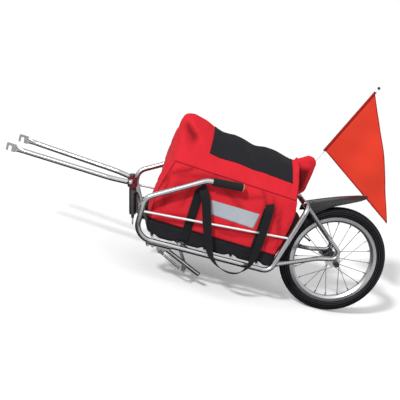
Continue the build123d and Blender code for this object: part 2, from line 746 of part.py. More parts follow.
# Cloth of the flag: a triangle with soft upright folds and a hem round the pole
hem_start = pole_start + pole_dir * hem_low
flag_folds = [0.0, 7.0, -5.0, 6.0, 1.0]
tip_drop = 36.0
hem_radius = 5.0
with BuildPart() as flag_cloth:
    for step, fold in enumerate(flag_folds):
        out = hem_radius - 0.6 + (flag_fly - hem_radius) * step / (len(flag_folds) - 1)
        share = out / (flag_fly + 14)
        low = -tip_drop * share
        high = flag_hoist - (flag_hoist + tip_drop) * share
        centre = hem_start + fly_dir * out + pole_dir * ((low + high) / 2) + Vector(0, fold, 0)
        with BuildSketch(Plane(centre, x_dir=pole_dir, z_dir=fly_dir)):
            Rectangle(high - low, 1.6)
    loft()
    add(pin_along(hem_start, pole_dir, flag_hoist, hem_radius))
    add(pin_along(hem_start - pole_dir, pole_dir, flag_hoist + 2, pole_radius + soft_gap), mode=Mode.SUBTRACT)
save(flag_cloth, "flag_cloth")

# Bag: a packed body with a gabled top on a stiff base
bag_foot_z = base_top_z + soft_gap
bag_side = [(-717, bag_foot_z), (-724, 300), (-708, 370), (-692, 424), (-684, 500), (-671, 571),
            (-640, 566), (-587, 556), (-508, 537), (-409, 522), (-346, 522), (-267, 517), (-218, 540),
            (-190, 533), (-176, 519), (-178, 465), (-184, 418), (-204, 401), (-230, 398), (-228, 348),
            (-234, 312), (-240, 273), (-252, bag_foot_z)]
seam_front = (-691, -bag_half_width, 424)
seam_rear = (-242, -bag_half_width, 402)
ridge_front = Vector(-668, 0, 566)
slope_up = (Vector(*seam_rear) - Vector(*seam_front)).cross(ridge_front - Vector(*seam_front))
with BuildPart() as bag_body:
    with BuildSketch(Plane.XZ):
        with BuildLine():
            Polyline(*bag_side, close=True)
        make_face()
    extrude(amount=bag_half_width, both=True)
    split(bisect_by=Plane(seam_front, z_dir=slope_up), keep=Keep.BOTTOM)
    split(bisect_by=Plane(flip_y(seam_front), z_dir=(slope_up.X, -slope_up.Y, slope_up.Z)), keep=Keep.BOTTOM)
    with BuildSketch(Plane.XY.offset(400)):
        for side in (1, -1):
            with BuildLine():
                Polyline((-242, side * 140), (-174, side * 14), (-150, side * 140), close=True)
            make_face()
    extrude(amount=200, mode=Mode.SUBTRACT)
save(bag_body, "bag_body")

with BuildPart() as bag_base:
    with BuildSketch(Plane.XZ):
        with BuildLine():
            Polyline((-717, base_top_z), (-714, bag_floor_z + 8), (-706, bag_floor_z), (-270, bag_floor_z),
                     (-257, bag_floor_z + 10), (-252, base_top_z), close=True)
        make_face()
    extrude(amount=bag_half_width, both=True)
save(bag_base, "bag_base")

# Webbing sewn to both sides of the bag, and the free loops to carry it by
band_x = (-577.0, -330.0)
band_foot_z, band_top_z = 162.0, 352.0
with BuildPart() as left_bands:
    with BuildSketch(Plane.XZ.offset(bag_half_width + soft_gap)):
        with Locations(*[(x, (band_foot_z + band_top_z) / 2) for x in band_x]):
            Rectangle(webbing_width, band_top_z - band_foot_z)
    extrude(amount=2.0)
build("bag_bands", left_bands.part, mirror(left_bands.part, about=Plane.XZ))

# Middle of the loop's webbing, and the turn of its width about its own run
loop_route = [
    (-577, -139.4, 366, 0), (-573, -150, 362, 0), (-563, -161, 350, 4), (-553, -166, 330, 6),
    (-541, -168, 300, 10), (-519, -169, 240, 16), (-497, -170, 185, 26), (-474, -172, 142, 40),
    (-440, -173, 114, 56), (-398, -173, 103, 64), (-362, -172, 112, 52), (-338, -171, 145, 34),
    (-329, -169, 195, 20), (-326, -167, 255, 12), (-327, -164, 310, 6), (-328, -160, 345, 2),
    (-329, -150, 362, 0), (-330, -139.4, 366, 0),
]
with BuildPart() as left_loop:
    for number, (x, y, z, turn) in enumerate(loop_route):
        before = Vector(*loop_route[max(number - 1, 0)][:3])
        after = Vector(*loop_route[min(number + 1, len(loop_route) - 1)][:3])
        run = (after - before).normalized()
        wide = Vector(0, -1, 0).cross(run).normalized().rotate(Axis((0, 0, 0), run), turn)
        with BuildSketch(Plane((x, y, z), x_dir=wide, z_dir=run)):
            Rectangle(webbing_width, webbing_thick)
    loft(ruled=True)
both_sides("bag_loop", left_loop.part)
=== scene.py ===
import bpy
import bmesh
import json
from math import atan2, cos, exp, pi, radians, sin, sqrt
from mathutils import Matrix, Vector, noise

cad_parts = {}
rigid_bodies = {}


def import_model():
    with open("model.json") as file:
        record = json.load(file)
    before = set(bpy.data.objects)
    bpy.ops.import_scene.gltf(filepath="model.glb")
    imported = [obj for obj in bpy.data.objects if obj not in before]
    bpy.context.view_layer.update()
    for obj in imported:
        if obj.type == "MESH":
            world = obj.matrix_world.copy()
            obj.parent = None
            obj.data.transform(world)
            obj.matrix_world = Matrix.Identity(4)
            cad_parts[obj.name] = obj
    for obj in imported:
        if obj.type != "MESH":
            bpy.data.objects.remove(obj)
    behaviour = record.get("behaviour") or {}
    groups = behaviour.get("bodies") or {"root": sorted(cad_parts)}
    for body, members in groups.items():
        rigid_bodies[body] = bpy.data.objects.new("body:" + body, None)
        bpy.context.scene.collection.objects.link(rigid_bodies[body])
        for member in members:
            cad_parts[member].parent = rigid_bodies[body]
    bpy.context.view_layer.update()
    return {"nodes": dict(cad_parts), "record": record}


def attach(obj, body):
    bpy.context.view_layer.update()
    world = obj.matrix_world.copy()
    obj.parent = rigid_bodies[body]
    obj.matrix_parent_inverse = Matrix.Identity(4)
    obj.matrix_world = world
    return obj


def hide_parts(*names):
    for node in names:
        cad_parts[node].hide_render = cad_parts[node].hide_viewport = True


for leftover in list(bpy.data.objects):
    bpy.data.objects.remove(leftover)
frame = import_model()
cadNodes = frame["nodes"]
mm = 0.001
axleZ = 197.0  # height of the wheel's axle, in millimetres like the sizes of every piece
print("frame loaded,", len(cadNodes), "nodes")


# Helpers for meshes

def deselectAll():
    for obj in bpy.context.selected_objects:
        obj.select_set(False)
    bpy.context.view_layer.objects.active = None


def pick(obj):
    deselectAll()
    obj.select_set(True)
    bpy.context.view_layer.objects.active = obj
    return obj


def settle(obj):  # puts the object's place into its mesh
    pick(obj)
    bpy.ops.object.transform_apply(location=True, rotation=True, scale=True)
    return obj


def addModifier(obj, kind, **values):
    pick(obj)
    modifier = obj.modifiers.new(kind.title(), kind)
    for key, value in values.items():
        setattr(modifier, key, value)
    bpy.ops.object.modifier_apply(modifier=modifier.name)
    return obj


def subdivided(obj, levels=1):
    return addModifier(obj, "SUBSURF", levels=levels, render_levels=levels)


def smoothByAngle(obj, degrees=40):
    pick(obj)
    bpy.ops.object.shade_smooth_by_angle(angle=radians(degrees))
    return obj


def faceOutwards(obj):
    pick(obj)
    bpy.ops.object.mode_set(mode="EDIT")
    bpy.ops.mesh.select_all(action="SELECT")
    bpy.ops.mesh.normals_make_consistent(inside=False)
    bpy.ops.object.mode_set(mode="OBJECT")
    return obj


def selectOnly(mesh, faceTest=None, vertTest=None):  # in edit mode, by place or normal
    bm = bmesh.from_edit_mesh(mesh)
    for group in (bm.verts, bm.edges, bm.faces):
        for item in group:
            item.select = False
    bpy.context.tool_settings.mesh_select_mode = (vertTest is not None, False, faceTest is not None)
    for face in bm.faces if faceTest else []:
        if faceTest(face):
            face.select_set(True)
    for vert in bm.verts if vertTest else []:
        if vertTest(vert):
            vert.select_set(True)
    bm.select_flush_mode()
    bmesh.update_edit_mesh(mesh)


def finishPiece(obj, material, body, replaces=()):
    obj.data.materials.clear()
    obj.data.materials.append(material)
    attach(obj, body)
    if replaces:
        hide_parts(*replaces)
    return obj


def meshFrom(name, points, faces, uvs=None):
    mesh = bpy.data.meshes.new(name)
    mesh.from_pydata([p * mm for p in points], [], faces)
    if uvs:
        layer = mesh.uv_layers.new(name="clothMetres")
        for loop in mesh.loops:
            layer.data[loop.index].uv = uvs[loop.vertex_index]
    obj = bpy.data.objects.new(name, mesh)
    bpy.context.scene.collection.objects.link(obj)
    for polygon in mesh.polygons:
        polygon.use_smooth = True
    return obj


def gridSheet(name, rows):  # rows of points in millimetres, with a UV map in metres
    points, uvs, faces = [], [], []
    wide = len(rows[0])
    for i, row in enumerate(rows):
        for j, point in enumerate(row):
            points.append(Vector(point))
            across = sum((Vector(row[k]) - Vector(row[k - 1])).length for k in range(1, j + 1))
            along = sum((Vector(rows[k][0]) - Vector(rows[k - 1][0])).length for k in range(1, i + 1))
            uvs.append((across * mm, along * mm))
    for i in range(len(rows) - 1):
        for j in range(wide - 1):
            a = i * wide + j
            faces.append((a, a + 1, a + wide + 1, a + wide))
    return meshFrom(name, points, faces, uvs)


def between(table, value):  # straight-line reading of (at, reading) pairs
    if value <= table[0][0]:
        return table[0][1]
    for (a, low), (b, high) in zip(table, table[1:]):
        if value <= b:
            return low + (high - low) * (value - a) / (b - a)
    return table[-1][1]


def smoothLine(points, steps):  # a curve through the points, as many numbers as each has
    made = []
    for i in range(len(points) - 1):
        p0 = points[max(i - 1, 0)]
        p1, p2 = points[i], points[i + 1]
        p3 = points[min(i + 2, len(points) - 1)]
        for k in range(steps):
            t = k / steps
            made.append([0.5 * (2 * b + (c - a) * t + (2 * a - 5 * b + 4 * c - d) * t * t
                                + (3 * b - a - 3 * c + d) * t ** 3) for a, b, c, d in zip(p0, p1, p2, p3)])
    made.append(list(points[-1]))
    return made


def softTube(name, path, radius, sides=8, closed=False):  # piping, thread and hems
    path = [Vector(p) for p in path]
    count = len(path)
    points, faces, uvs = [], [], []
    up = Vector((0.13, 0.21, 0.97))
    length = 0.0
    for i, point in enumerate(path):
        before = path[i - 1] if i or closed else point
        after = path[(i + 1) % count] if i < count - 1 or closed else point
        run = (after - before).normalized()
        side = run.cross(up).normalized()
        top = side.cross(run)
        length += (point - before).length if i else 0
        for k in range(sides):
            angle = 2 * pi * k / sides
            points.append(point + (side * cos(angle) + top * sin(angle)) * radius)
            uvs.append((k / sides * 2 * pi * radius * mm, length * mm))
    for i in range(count if closed else count - 1):
        for k in range(sides):
            a, b = i * sides + k, i * sides + (k + 1) % sides
            c, d = (a + sides) % len(points), (b + sides) % len(points)
            faces.append((a, b, d, c))
    if not closed:
        faces.append(tuple(reversed(range(sides))))
        faces.append(tuple(range(len(points) - sides, len(points))))
    return meshFrom(name, points, faces, uvs)


# Node groups shared by the materials

def newGroup(name, inputs, outputs):
    group = bpy.data.node_groups.new(name, "ShaderNodeTree")
    for label, kind, default in inputs:
        socket = group.interface.new_socket(label, in_out="INPUT", socket_type=kind)
        if default is not None:
            socket.default_value = default
    for label, kind in outputs:
        group.interface.new_socket(label, in_out="OUTPUT", socket_type=kind)
    return group, group.nodes.new("NodeGroupInput"), group.nodes.new("NodeGroupOutput")


def mathNode(tree, operation, first, second=None, third=None):
    node = tree.nodes.new("ShaderNodeMath")
    node.operation = operation
    for index, value in enumerate((first, second, third)):
        if value is None:
            continue
        if isinstance(value, (int, float)):
            node.inputs[index].default_value = value
        else:
            tree.links.new(value, node.inputs[index])
    return node.outputs[0]


def noiseNode(tree, vector, scale, detail=3.0, roughness=0.55):
    node = tree.nodes.new("ShaderNodeTexNoise")
    tree.links.new(vector, node.inputs["Vector"])
    for label, value in (("Scale", scale), ("Detail", detail), ("Roughness", roughness)):
        if isinstance(value, (int, float)):
            node.inputs[label].default_value = value
        else:
            tree.links.new(value, node.inputs[label])
    return node.outputs["Fac"]


def mixColours(tree, share, first, second, blend="MIX"):
    node = tree.nodes.new("ShaderNodeMix")
    node.data_type = "RGBA"
    node.blend_type = blend
    for index, value in ((0, share), (6, first), (7, second)):
        if isinstance(value, (int, float, tuple)):
            node.inputs[index].default_value = value
        else:
            tree.links.new(value, node.inputs[index])
    return node.outputs[2]


def waveAlong(tree, value, length):  # swings once over and under in two lengths
    return mathNode(tree, "SINE", mathNode(tree, "DIVIDE", mathNode(tree, "MULTIPLY", value, pi), length))


def buildWeaveGroup():  # over and under threads on a UV map in metres
    group, start, end = newGroup("clothWeave", [
        ("UV", "NodeSocketVector", None), ("Thread", "NodeSocketFloat", 0.0011),
        ("Stretch", "NodeSocketFloat", 1.0)],
        [("Height", "NodeSocketFloat"), ("Shade", "NodeSocketFloat")])
    parts = group.nodes.new("ShaderNodeSeparateXYZ")
    group.links.new(start.outputs["UV"], parts.inputs[0])
    warp = waveAlong(group, parts.outputs[0], start.outputs["Thread"])
    longThread = mathNode(group, "MULTIPLY", start.outputs["Thread"], start.outputs["Stretch"])
    weft = waveAlong(group, parts.outputs[1], longThread)
    over = mathNode(group, "MULTIPLY_ADD", mathNode(group, "MULTIPLY", warp, weft), 0.5, 0.5)
    slub = noiseNode(group, start.outputs["UV"], 260.0, 2.0)
    shade = mathNode(group, "MULTIPLY", over, mathNode(group, "MULTIPLY_ADD", slub, 0.6, 0.5))
    group.links.new(mathNode(group, "MULTIPLY_ADD", slub, 0.5, over), end.inputs["Height"])
    group.links.new(shade, end.inputs["Shade"])
    return group


def buildWearGroup():  # broad cloudiness with small specks, for metal, plastic and cloth alike
    group, start, end = newGroup("handlingWear", [
        ("Vector", "NodeSocketVector", None), ("Broad Scale", "NodeSocketFloat", 9.0),
        ("Fine Scale", "NodeSocketFloat", 240.0)],
        [("Cloud", "NodeSocketFloat"), ("Speck", "NodeSocketFloat")])
    cloud = noiseNode(group, start.outputs["Vector"], start.outputs["Broad Scale"], 4.0)
    fine = noiseNode(group, start.outputs["Vector"], start.outputs["Fine Scale"], 2.0, 0.7)
    group.links.new(cloud, end.inputs["Cloud"])
    ramp = group.nodes.new("ShaderNodeMapRange")
    ramp.inputs[1].default_value, ramp.inputs[2].default_value = 0.56, 0.72
    group.links.new(fine, ramp.inputs[0])
    group.links.new(ramp.outputs[0], end.inputs["Speck"])
    return group


weaveGroup = buildWeaveGroup()
wearGroup = buildWearGroup()


def placeGroup(tree, group, vector, **values):
    node = tree.nodes.new("ShaderNodeGroup")
    node.node_tree = group
    tree.links.new(vector, node.inputs[0])
    for label, value in values.items():
        node.inputs[label.replace("_", " ")].default_value = value
    return node


def newMaterial(name, **fixed):
    material = bpy.data.materials.new(name)
    material.use_nodes = True
    tree = material.node_tree
    shader = tree.nodes["Principled BSDF"]
    for label, value in fixed.items():
        shader.inputs[label.replace("_", " ")].default_value = value
    place = tree.nodes.new("ShaderNodeTexCoord")
    return material, tree, shader, place


def bumpInto(tree, shader, height, strength, distance):
    bump = tree.nodes.new("ShaderNodeBump")
    bump.inputs["Strength"].default_value = strength
    bump.inputs["Distance"].default_value = distance
    tree.links.new(height, bump.inputs["Height"])
    tree.links.new(bump.outputs[0], shader.inputs["Normal"])


def roughnessFrom(tree, shader, value, low, high):
    node = tree.nodes.new("ShaderNodeMapRange")
    node.inputs[3].default_value, node.inputs[4].default_value = low, high
    tree.links.new(value, node.inputs[0])
    tree.links.new(node.outputs[0], shader.inputs["Roughness"])


def clothMaterial(name, colour, toneAndThreadShade, thread=0.0011, stretch=1.0, sheen=0.25,
                  rough=(0.66, 0.85), bump=0.25, gloss=0.14, shadeHollows=False):
    material, tree, shader, place = newMaterial(
        name, Sheen_Weight=sheen, Sheen_Roughness=0.45, Specular_IOR_Level=gloss)
    weave = placeGroup(tree, weaveGroup, place.outputs["UV"], Thread=thread, Stretch=stretch)
    wear = placeGroup(tree, wearGroup, place.outputs["Object"], Broad_Scale=7.0, Fine_Scale=420.0)
    # a darker tone: mixed in at random by the cloud, and as painted shade where the threads dip under
    cloudy = mixColours(tree, mathNode(tree, "MULTIPLY", wear.outputs["Cloud"], 0.5), colour, toneAndThreadShade)
    threads = mixColours(tree, mathNode(tree, "MULTIPLY", weave.outputs["Shade"], 0.22), toneAndThreadShade, colour)
    mixed = mixColours(tree, 0.35, cloudy, threads)
    if shadeHollows:  # painted shade: darker in the ear's pocket, the gable's valley and along the creases
        painted = tree.nodes.new("ShaderNodeAttribute")
        painted.attribute_name = "hollowShade"
        mixed = mixColours(tree, painted.outputs["Fac"], mixed, tuple(c * 0.1 for c in colour[:3]) + (1,))
    tree.links.new(mixed, shader.inputs["Base Color"])
    roughnessFrom(tree, shader, weave.outputs["Shade"], *rough)
    bumpInto(tree, shader, weave.outputs["Height"], bump, thread * 0.5)
    return material


def metalMaterial(name, colour, dull, metallic, rough, broad=14.0, coat=0.0, bump=0.05, specks=0.5,
                  edge=(0.45, 0.46, 0.48, 1)):
    material, tree, shader, place = newMaterial(name, Metallic=metallic, Coat_Weight=coat,
                                                Coat_Roughness=0.12,
                                                Specular_Tint=edge)
    wear = placeGroup(tree, wearGroup, place.outputs["Object"], Broad_Scale=broad, Fine_Scale=300.0)
    base = mixColours(tree, mathNode(tree, "MULTIPLY", wear.outputs["Cloud"], 0.4), colour, dull)
    worn = mixColours(tree, mathNode(tree, "MULTIPLY", wear.outputs["Speck"], specks), base, dull)
    tree.links.new(worn, shader.inputs["Base Color"])
    roughnessFrom(tree, shader, wear.outputs["Cloud"], *rough)
    bumpInto(tree, shader, wear.outputs["Speck"], bump, 0.0003)
    return material


# Materials

silverPaint = metalMaterial("satinSilver", (0.46, 0.465, 0.475, 1), (0.33, 0.335, 0.345, 1), 1.0,
                            (0.2, 0.32), coat=0.12, specks=0.1)
crownRed = metalMaterial("crownRed", (0.17, 0.012, 0.03, 1), (0.07, 0.008, 0.02, 1), 0.35, (0.28, 0.45),
                         coat=0.4, specks=0.2)
zincSteel = metalMaterial("zincSteel", (0.42, 0.425, 0.44, 1), (0.24, 0.245, 0.255, 1), 1.0, (0.3, 0.5),
                          broad=40.0, bump=0.15)
darkSteel = metalMaterial("darkSteel", (0.12, 0.12, 0.125, 1), (0.05, 0.05, 0.055, 1), 0.9, (0.3, 0.45),
                          broad=30.0, bump=0.1)
# painted highlight: a lighter copy of the satin silver for the thin side rods, so they read bright
rodSilverPaintedBright = metalMaterial("rodSilverPaintedBright", (0.86, 0.86, 0.87, 1), (0.7, 0.7, 0.71, 1), 0.75, (0.3, 0.42),
                          specks=0.1)
rimAlloy = metalMaterial("rimAlloy", (0.50, 0.505, 0.515, 1), (0.36, 0.365, 0.37, 1), 1.0, (0.22, 0.38),
                         broad=20.0, specks=0.15)
spokeSteel = metalMaterial("spokeSteel", (0.22, 0.225, 0.23, 1), (0.12, 0.12, 0.125, 1), 1.0, (0.25, 0.4),
                           specks=0.1)
bagRed = clothMaterial("bagRed", (0.76, 0.030, 0.046, 1), (0.50, 0.011, 0.019, 1), thread=0.0012, sheen=0.02,
                       gloss=0.07, shadeHollows=True)
bagBlack = clothMaterial("bagBlack", (0.017, 0.017, 0.021, 1), (0.006, 0.006, 0.008, 1), thread=0.0012,
                         sheen=0.06)
webbingBlack = clothMaterial("webbingBlack", (0.014, 0.014, 0.017, 1), (0.004, 0.004, 0.005, 1),
                             thread=0.0016, stretch=2.2, sheen=0.06, bump=0.6)
pipingRed = clothMaterial("pipingRed", (0.36, 0.01, 0.018, 1), (0.22, 0.005, 0.01, 1), thread=0.0009,
                          sheen=0.04)
threadBlack = clothMaterial("threadBlack", (0.05, 0.05, 0.055, 1), (0.02, 0.02, 0.02, 1), thread=0.0006)
threadRed = clothMaterial("threadRed", (0.75, 0.09, 0.10, 1), (0.5, 0.03, 0.04, 1), thread=0.0006)
bandGrey = clothMaterial("bandGrey", (0.46, 0.49, 0.53, 1), (0.30, 0.33, 0.38, 1), thread=0.0008, sheen=0.1,
                         rough=(0.32, 0.48), bump=0.1, gloss=0.4)
flagOrange = clothMaterial("flagOrange", (0.78, 0.055, 0.025, 1), (0.62, 0.03, 0.015, 1), thread=0.0007,
                           sheen=0.15, bump=0.12)
flagHemRed = clothMaterial("flagHemRed", (0.36, 0.012, 0.012, 1), (0.25, 0.008, 0.008, 1), thread=0.0007,
                           sheen=0.1)


def plasticMaterial(name, colour, scuffed, rough, grain=700.0, bump=0.2, sheen=0.0, gloss=0.3):
    material, tree, shader, place = newMaterial(name, Specular_IOR_Level=gloss, Sheen_Weight=sheen)
    wear = placeGroup(tree, wearGroup, place.outputs["Object"], Broad_Scale=18.0, Fine_Scale=grain)
    base = mixColours(tree, mathNode(tree, "MULTIPLY", wear.outputs["Cloud"], 0.5), colour, scuffed)
    tree.links.new(base, shader.inputs["Base Color"])
    roughnessFrom(tree, shader, wear.outputs["Cloud"], *rough)
    bumpInto(tree, shader, wear.outputs["Speck"], bump, 0.0002)
    return material


guardBlack = plasticMaterial("guardBlack", (0.010, 0.010, 0.012, 1), (0.02, 0.02, 0.023, 1), (0.28, 0.42),
                             gloss=0.35)
plainBlack = plasticMaterial("plainBlack", (0.012, 0.012, 0.013, 1), (0.025, 0.025, 0.027, 1), (0.35, 0.55))
gripFoam = plasticMaterial("gripFoam", (0.009, 0.009, 0.01, 1), (0.02, 0.02, 0.021, 1), (0.7, 0.92),
                           grain=900.0, bump=0.9, sheen=0.05, gloss=0.15)
plugTan = plasticMaterial("plugTan", (0.52, 0.17, 0.045, 1), (0.36, 0.10, 0.03, 1), (0.35, 0.5))
poleWhite = plasticMaterial("poleWhite", (0.86, 0.87, 0.86, 1), (0.74, 0.76, 0.78, 1), (0.18, 0.3), bump=0.03)
tubeRubber = plasticMaterial("tubeRubber", (0.03, 0.03, 0.032, 1), (0.05, 0.05, 0.05, 1), (0.5, 0.7))


def tyreMaterial():  # fine moulded rings round the sidewall, on the radius from the axle, bumped, with a painted highlight in light grey along each
    material, tree, shader, place = newMaterial("tyreRubber", Specular_IOR_Level=0.09)
    parts = tree.nodes.new("ShaderNodeSeparateXYZ")
    tree.links.new(place.outputs["Object"], parts.inputs[0])
    high = mathNode(tree, "SUBTRACT", parts.outputs[2], axleZ * mm)
    radius = mathNode(tree, "SQRT", mathNode(tree, "ADD", mathNode(tree, "MULTIPLY", high, high),
                                             mathNode(tree, "MULTIPLY", parts.outputs[0], parts.outputs[0])))
    lines = None
    for ringRadius in (0.1655, 0.1712, 0.1788, 0.1862, 0.1905):
        away = mathNode(tree, "ABSOLUTE", mathNode(tree, "SUBTRACT", radius, ringRadius))
        line = mathNode(tree, "LESS_THAN", away, 0.00055)
        lines = line if lines is None else mathNode(tree, "MAXIMUM", lines, line)
    wear = placeGroup(tree, wearGroup, place.outputs["Object"], Broad_Scale=22.0, Fine_Scale=500.0)
    base = mixColours(tree, wear.outputs["Cloud"], (0.001, 0.001, 0.0015, 1), (0.004, 0.004, 0.005, 1))
    # painted highlight: the rings are drawn light grey as if catching the light
    ringHighlight = mixColours(tree, mathNode(tree, "MULTIPLY", lines, 0.8), base, (0.07, 0.07, 0.08, 1))
    tree.links.new(ringHighlight, shader.inputs["Base Color"])
    roughnessFrom(tree, shader, wear.outputs["Cloud"], 0.42, 0.62)
    bumpInto(tree, shader, mathNode(tree, "MULTIPLY_ADD", wear.outputs["Speck"], 0.3, lines), 0.6, 0.0006)
    return material


tyreRubber = tyreMaterial()

slotMaterials = {
    "frame_paint": silverPaint, "crown_paint": crownRed, "plain_steel": zincSteel, "rim_alloy": rimAlloy,
    "black_plastic": plainBlack, "grip_foam": gripFoam, "plug_tan": plugTan, "tyre_rubber": tyreRubber,
    "tube_rubber": tubeRubber, "pole_white": poleWhite, "flag_cloth": flagOrange, "bag_red": bagRed,
    "bag_black": bagBlack, "webbing": webbingBlack,
}
nodeMaterials = {
    "spokes": spokeSteel, "nipples": spokeSteel, "head_tube": darkSteel, "pin_bail": darkSteel,
    "collar_nut": darkSteel, "steerer": darkSteel, "valve_cap": plainBlack, "nut_caps": plainBlack,
    "pole_tip": plainBlack, "hub_shell": darkSteel, "left_side_rod": rodSilverPaintedBright, "right_side_rod": rodSilverPaintedBright,
}


def dressCadNodes():
    slotOf = {part["node"]: part.get("material_slot") for part in frame["record"]["subparts"]}
    for name, node in cadNodes.items():
        material = nodeMaterials.get(name) or slotMaterials.get(slotOf.get(name), silverPaint)
        node.data.materials.clear()
        node.data.materials.append(material)
    print("frame nodes dressed")


dressCadNodes()


# Bag: one sewn shell with a gabled top and a folded ear at its rear

bagFront, bagRear = -691.0, -242.0  # the two ends of the seam under the roof
bag = {  # in pairs, a place and what holds there; the shares run from 0 to 1
    "halfWidth": 138.0,
    "footZ": [(-717, 205.6), (-600, 202), (-252, 191)],
    "frontX": [(205.4, -717), (300, -720), (370, -706), (424, -692), (500, -685), (540, -680), (556, -677),
               (566, -670)],
    "rearX": [(188, -249), (206, -247), (235, -241), (273, -234), (312, -229), (348, -227), (398, -236),
              (402, -240), (460, -236), (500, -238), (540, -252)],
    "tipX": [(380, -236), (392, -230), (397, -222), (400.5, -192), (418, -181), (465, -176), (519, -176),
             (533, -188)],
    "seamZ": [(bagFront, 424), (bagRear, 402)],
    "ridgeZ": [(-676, 563), (-669, 569), (-660, 572), (-646, 572.5), (-621, 566), (-596, 558), (-568, 546),
               (-552, 540), (-537, 536), (-514, 537), (-487, 539.5), (-467, 537), (-451, 533), (-431, 527),
               (-410, 521.5), (-394, 523), (-378, 526), (-361, 526), (-343, 523.5), (-323, 521), (-302, 516),
               (-281, 512), (-268, 511), (-255, 517), (-242, 525), (-213, 539), (-193, 537), (-177, 522)],
    "ridgeRound": 13.0,
    "bodyLevels": 22,
    "roofLevels": 22,
    "halfCounts": (10, 4, 46, 4, 9, 9),  # steps round: front wall, turn, side, corner, pocket, ear
    "frontRound": 24.0, "rearRound": 9.0,
    "earShare": [(384, 0), (430, 1)], "pocketDepth": 30.0, "earHook": 6.0, "earFlare": 9.0,
    "wallShare": [(-685, 1), (-660, 0)],  # by x
    "sideShare": [(118, 0), (130, 1)],  # by the distance from the middle
    "roofShare": [(6, 0), (32, 1)],  # by the height over the seam
    "frontPart": -560.0,
    "slumpY": -125.0,
    "farSlump": [(206, 30), (240, 40), (284, 46), (315, 48), (357, 35), (407, 20), (455, 9), (500, 4),
                 (571, 0)],
    "valley": ((-670, 545), (-622, 504)),
    "sideLimit": 143.5,
    "rodY": [(-749, 167), (-224, 144)],
}


def seamZ(x):
    return between(bag["seamZ"], x)


def footZ(x):
    return between(bag["footZ"], x)


def riseShare(half):
    soft = bag["ridgeRound"]
    full = sqrt(bag["halfWidth"] ** 2 + soft ** 2) - soft
    return 1 - (sqrt(half * half + soft * soft) - soft) / full


def roofZ(x, half):
    return seamZ(x) + riseShare(half) * (between(bag["ridgeZ"], x) - seamZ(x))


def bagRing(half, zAt, roofShare):  # left half of one level, front centre round to the ear's tip
    frontZ, rearZ = zAt(bagFront), zAt(bagRear)
    xFront = between(bag["frontX"], frontZ)
    xRear = between(bag["rearX"], rearZ)
    xTip = max(between(bag["tipX"], rearZ), xRear) if rearZ > bag["tipX"][0][0] else xRear
    front, corner = min(bag["frontRound"], half * 0.5), min(bag["rearRound"], half * 0.4)
    wallCount, turnCount, sideCount, cornerCount, pocketCount, earCount = bag["halfCounts"]
    ear = between(bag["earShare"], rearZ)
    pocket = bag["pocketDepth"] * ear * sin(pi * min(1.0, 0.25 + 0.6 * roofShare))
    pocketX = xRear - pocket * min(1.0, half / 50)
    ring = []
    for k in range(wallCount):
        t = k / wallCount
        ring.append((xFront - 3 * (1 - t * t), -(half - front) * t))
    for k in range(turnCount):
        angle = pi / 2 * k / turnCount
        ring.append((xFront + front * (1 - cos(angle)), -(half - front + front * sin(angle))))
    for k in range(sideCount):
        t = k / sideCount
        ring.append((xFront + front + (xRear - corner - xFront - front) * t, -half))
    for k in range(cornerCount):
        angle = pi / 2 * k / cornerCount
        ring.append((xRear - corner + corner * sin(angle), -(half - corner + corner * cos(angle))))
    pocketY = max(half * 0.5, min(half * 0.8, 16.0))
    for k in range(pocketCount):
        t = k / pocketCount
        hook = ear * bag["earHook"] * sin(pi * t)
        ring.append((xRear + (pocketX - xRear) * t - hook, -(half - corner + (pocketY - half + corner) * t)))
    for k in range(earCount + 1):
        t = k / earCount
        flare = ear * bag["earFlare"] * sin(pi * t) * min(1.0, half / 60)
        ring.append((pocketX + (xTip - pocketX) * t ** 0.8, -(pocketY * (1 - t)) - flare))
    return ring


def bagLevels():
    levels = []
    for k in range(bag["bodyLevels"] + 1):
        share = k / bag["bodyLevels"]
        levels.append((bag["halfWidth"], lambda x, s=share: footZ(x) + s * (seamZ(x) - footZ(x)), 0.0))
    for k in range(1, bag["roofLevels"] + 1):
        share = 1 - (1 - k / bag["roofLevels"]) ** 1.25
        half = max(0.8, bag["halfWidth"] * (1 - share))
        levels.append((half, lambda x, h=half: roofZ(x, h), share))
    return levels


bagCreases = [  # where a crease lies: centre x, z, its run in degrees, half length, half width, depth
    (-702, 372, 78, 60, 6, -4.0), (-690, 330, 96, 70, 7, -3.2), (-668, 300, 70, 60, 9, -3.0),
    (-655, 395, 28, 60, 7, -3.0), (-600, 392, 12, 70, 8, -2.2), (-560, 250, 84, 60, 10, -2.6),
    (-500, 386, -14, 80, 8, -2.4), (-455, 350, -34, 70, 9, -2.6), (-392, 372, 22, 60, 8, -2.2),
    (-345, 372, -55, 50, 8, -3.0), (-300, 340, -64, 60, 8, -3.0), (-270, 290, -75, 70, 8, -3.4),
    (-290, 240, 40, 50, 8, -2.6), (-380, 235, 10, 70, 8, -2.4), (-470, 232, -8, 70, 8, -2.4),
    (-640, 238, 14, 60, 8, -2.8), (-430, 262, 60, 36, 8, -1.8), (-610, 320, 75, 50, 9, -2.4),
]
frontCreases = [  # across the front wall: height, slope, half width, depth, waver
    (500, 0.45, 9, -5.5, 0.0), (452, -0.3, 8, -4.5, 0.02), (392, -0.42, 9, -4.2, 0.0),
    (318, 0.2, 10, -4.0, 0.0),
]
roofCreases = [  # down the slopes: a place's x and z, slope, half width, middle height, half height, depth
    (-664, 518, 0.32, 6, 495, 30, 3.0), (-628, 480, 0.7, 8, 470, 30, -3.0),
    (-330, 430, -0.9, 9, 440, 22, -2.4),
]


def valleyPlace(x, z):  # how far along and across the gable's valley a place lies
    (x0, z0), (x1, z1) = bag["valley"]
    length = sqrt((x1 - x0) ** 2 + (z1 - z0) ** 2)
    along = ((x - x0) * (x1 - x0) + (z - z0) * (z1 - z0)) / length ** 2
    across = ((x - x0) * (z0 - z1) + (z - z0) * (x1 - x0)) / length
    return along, across


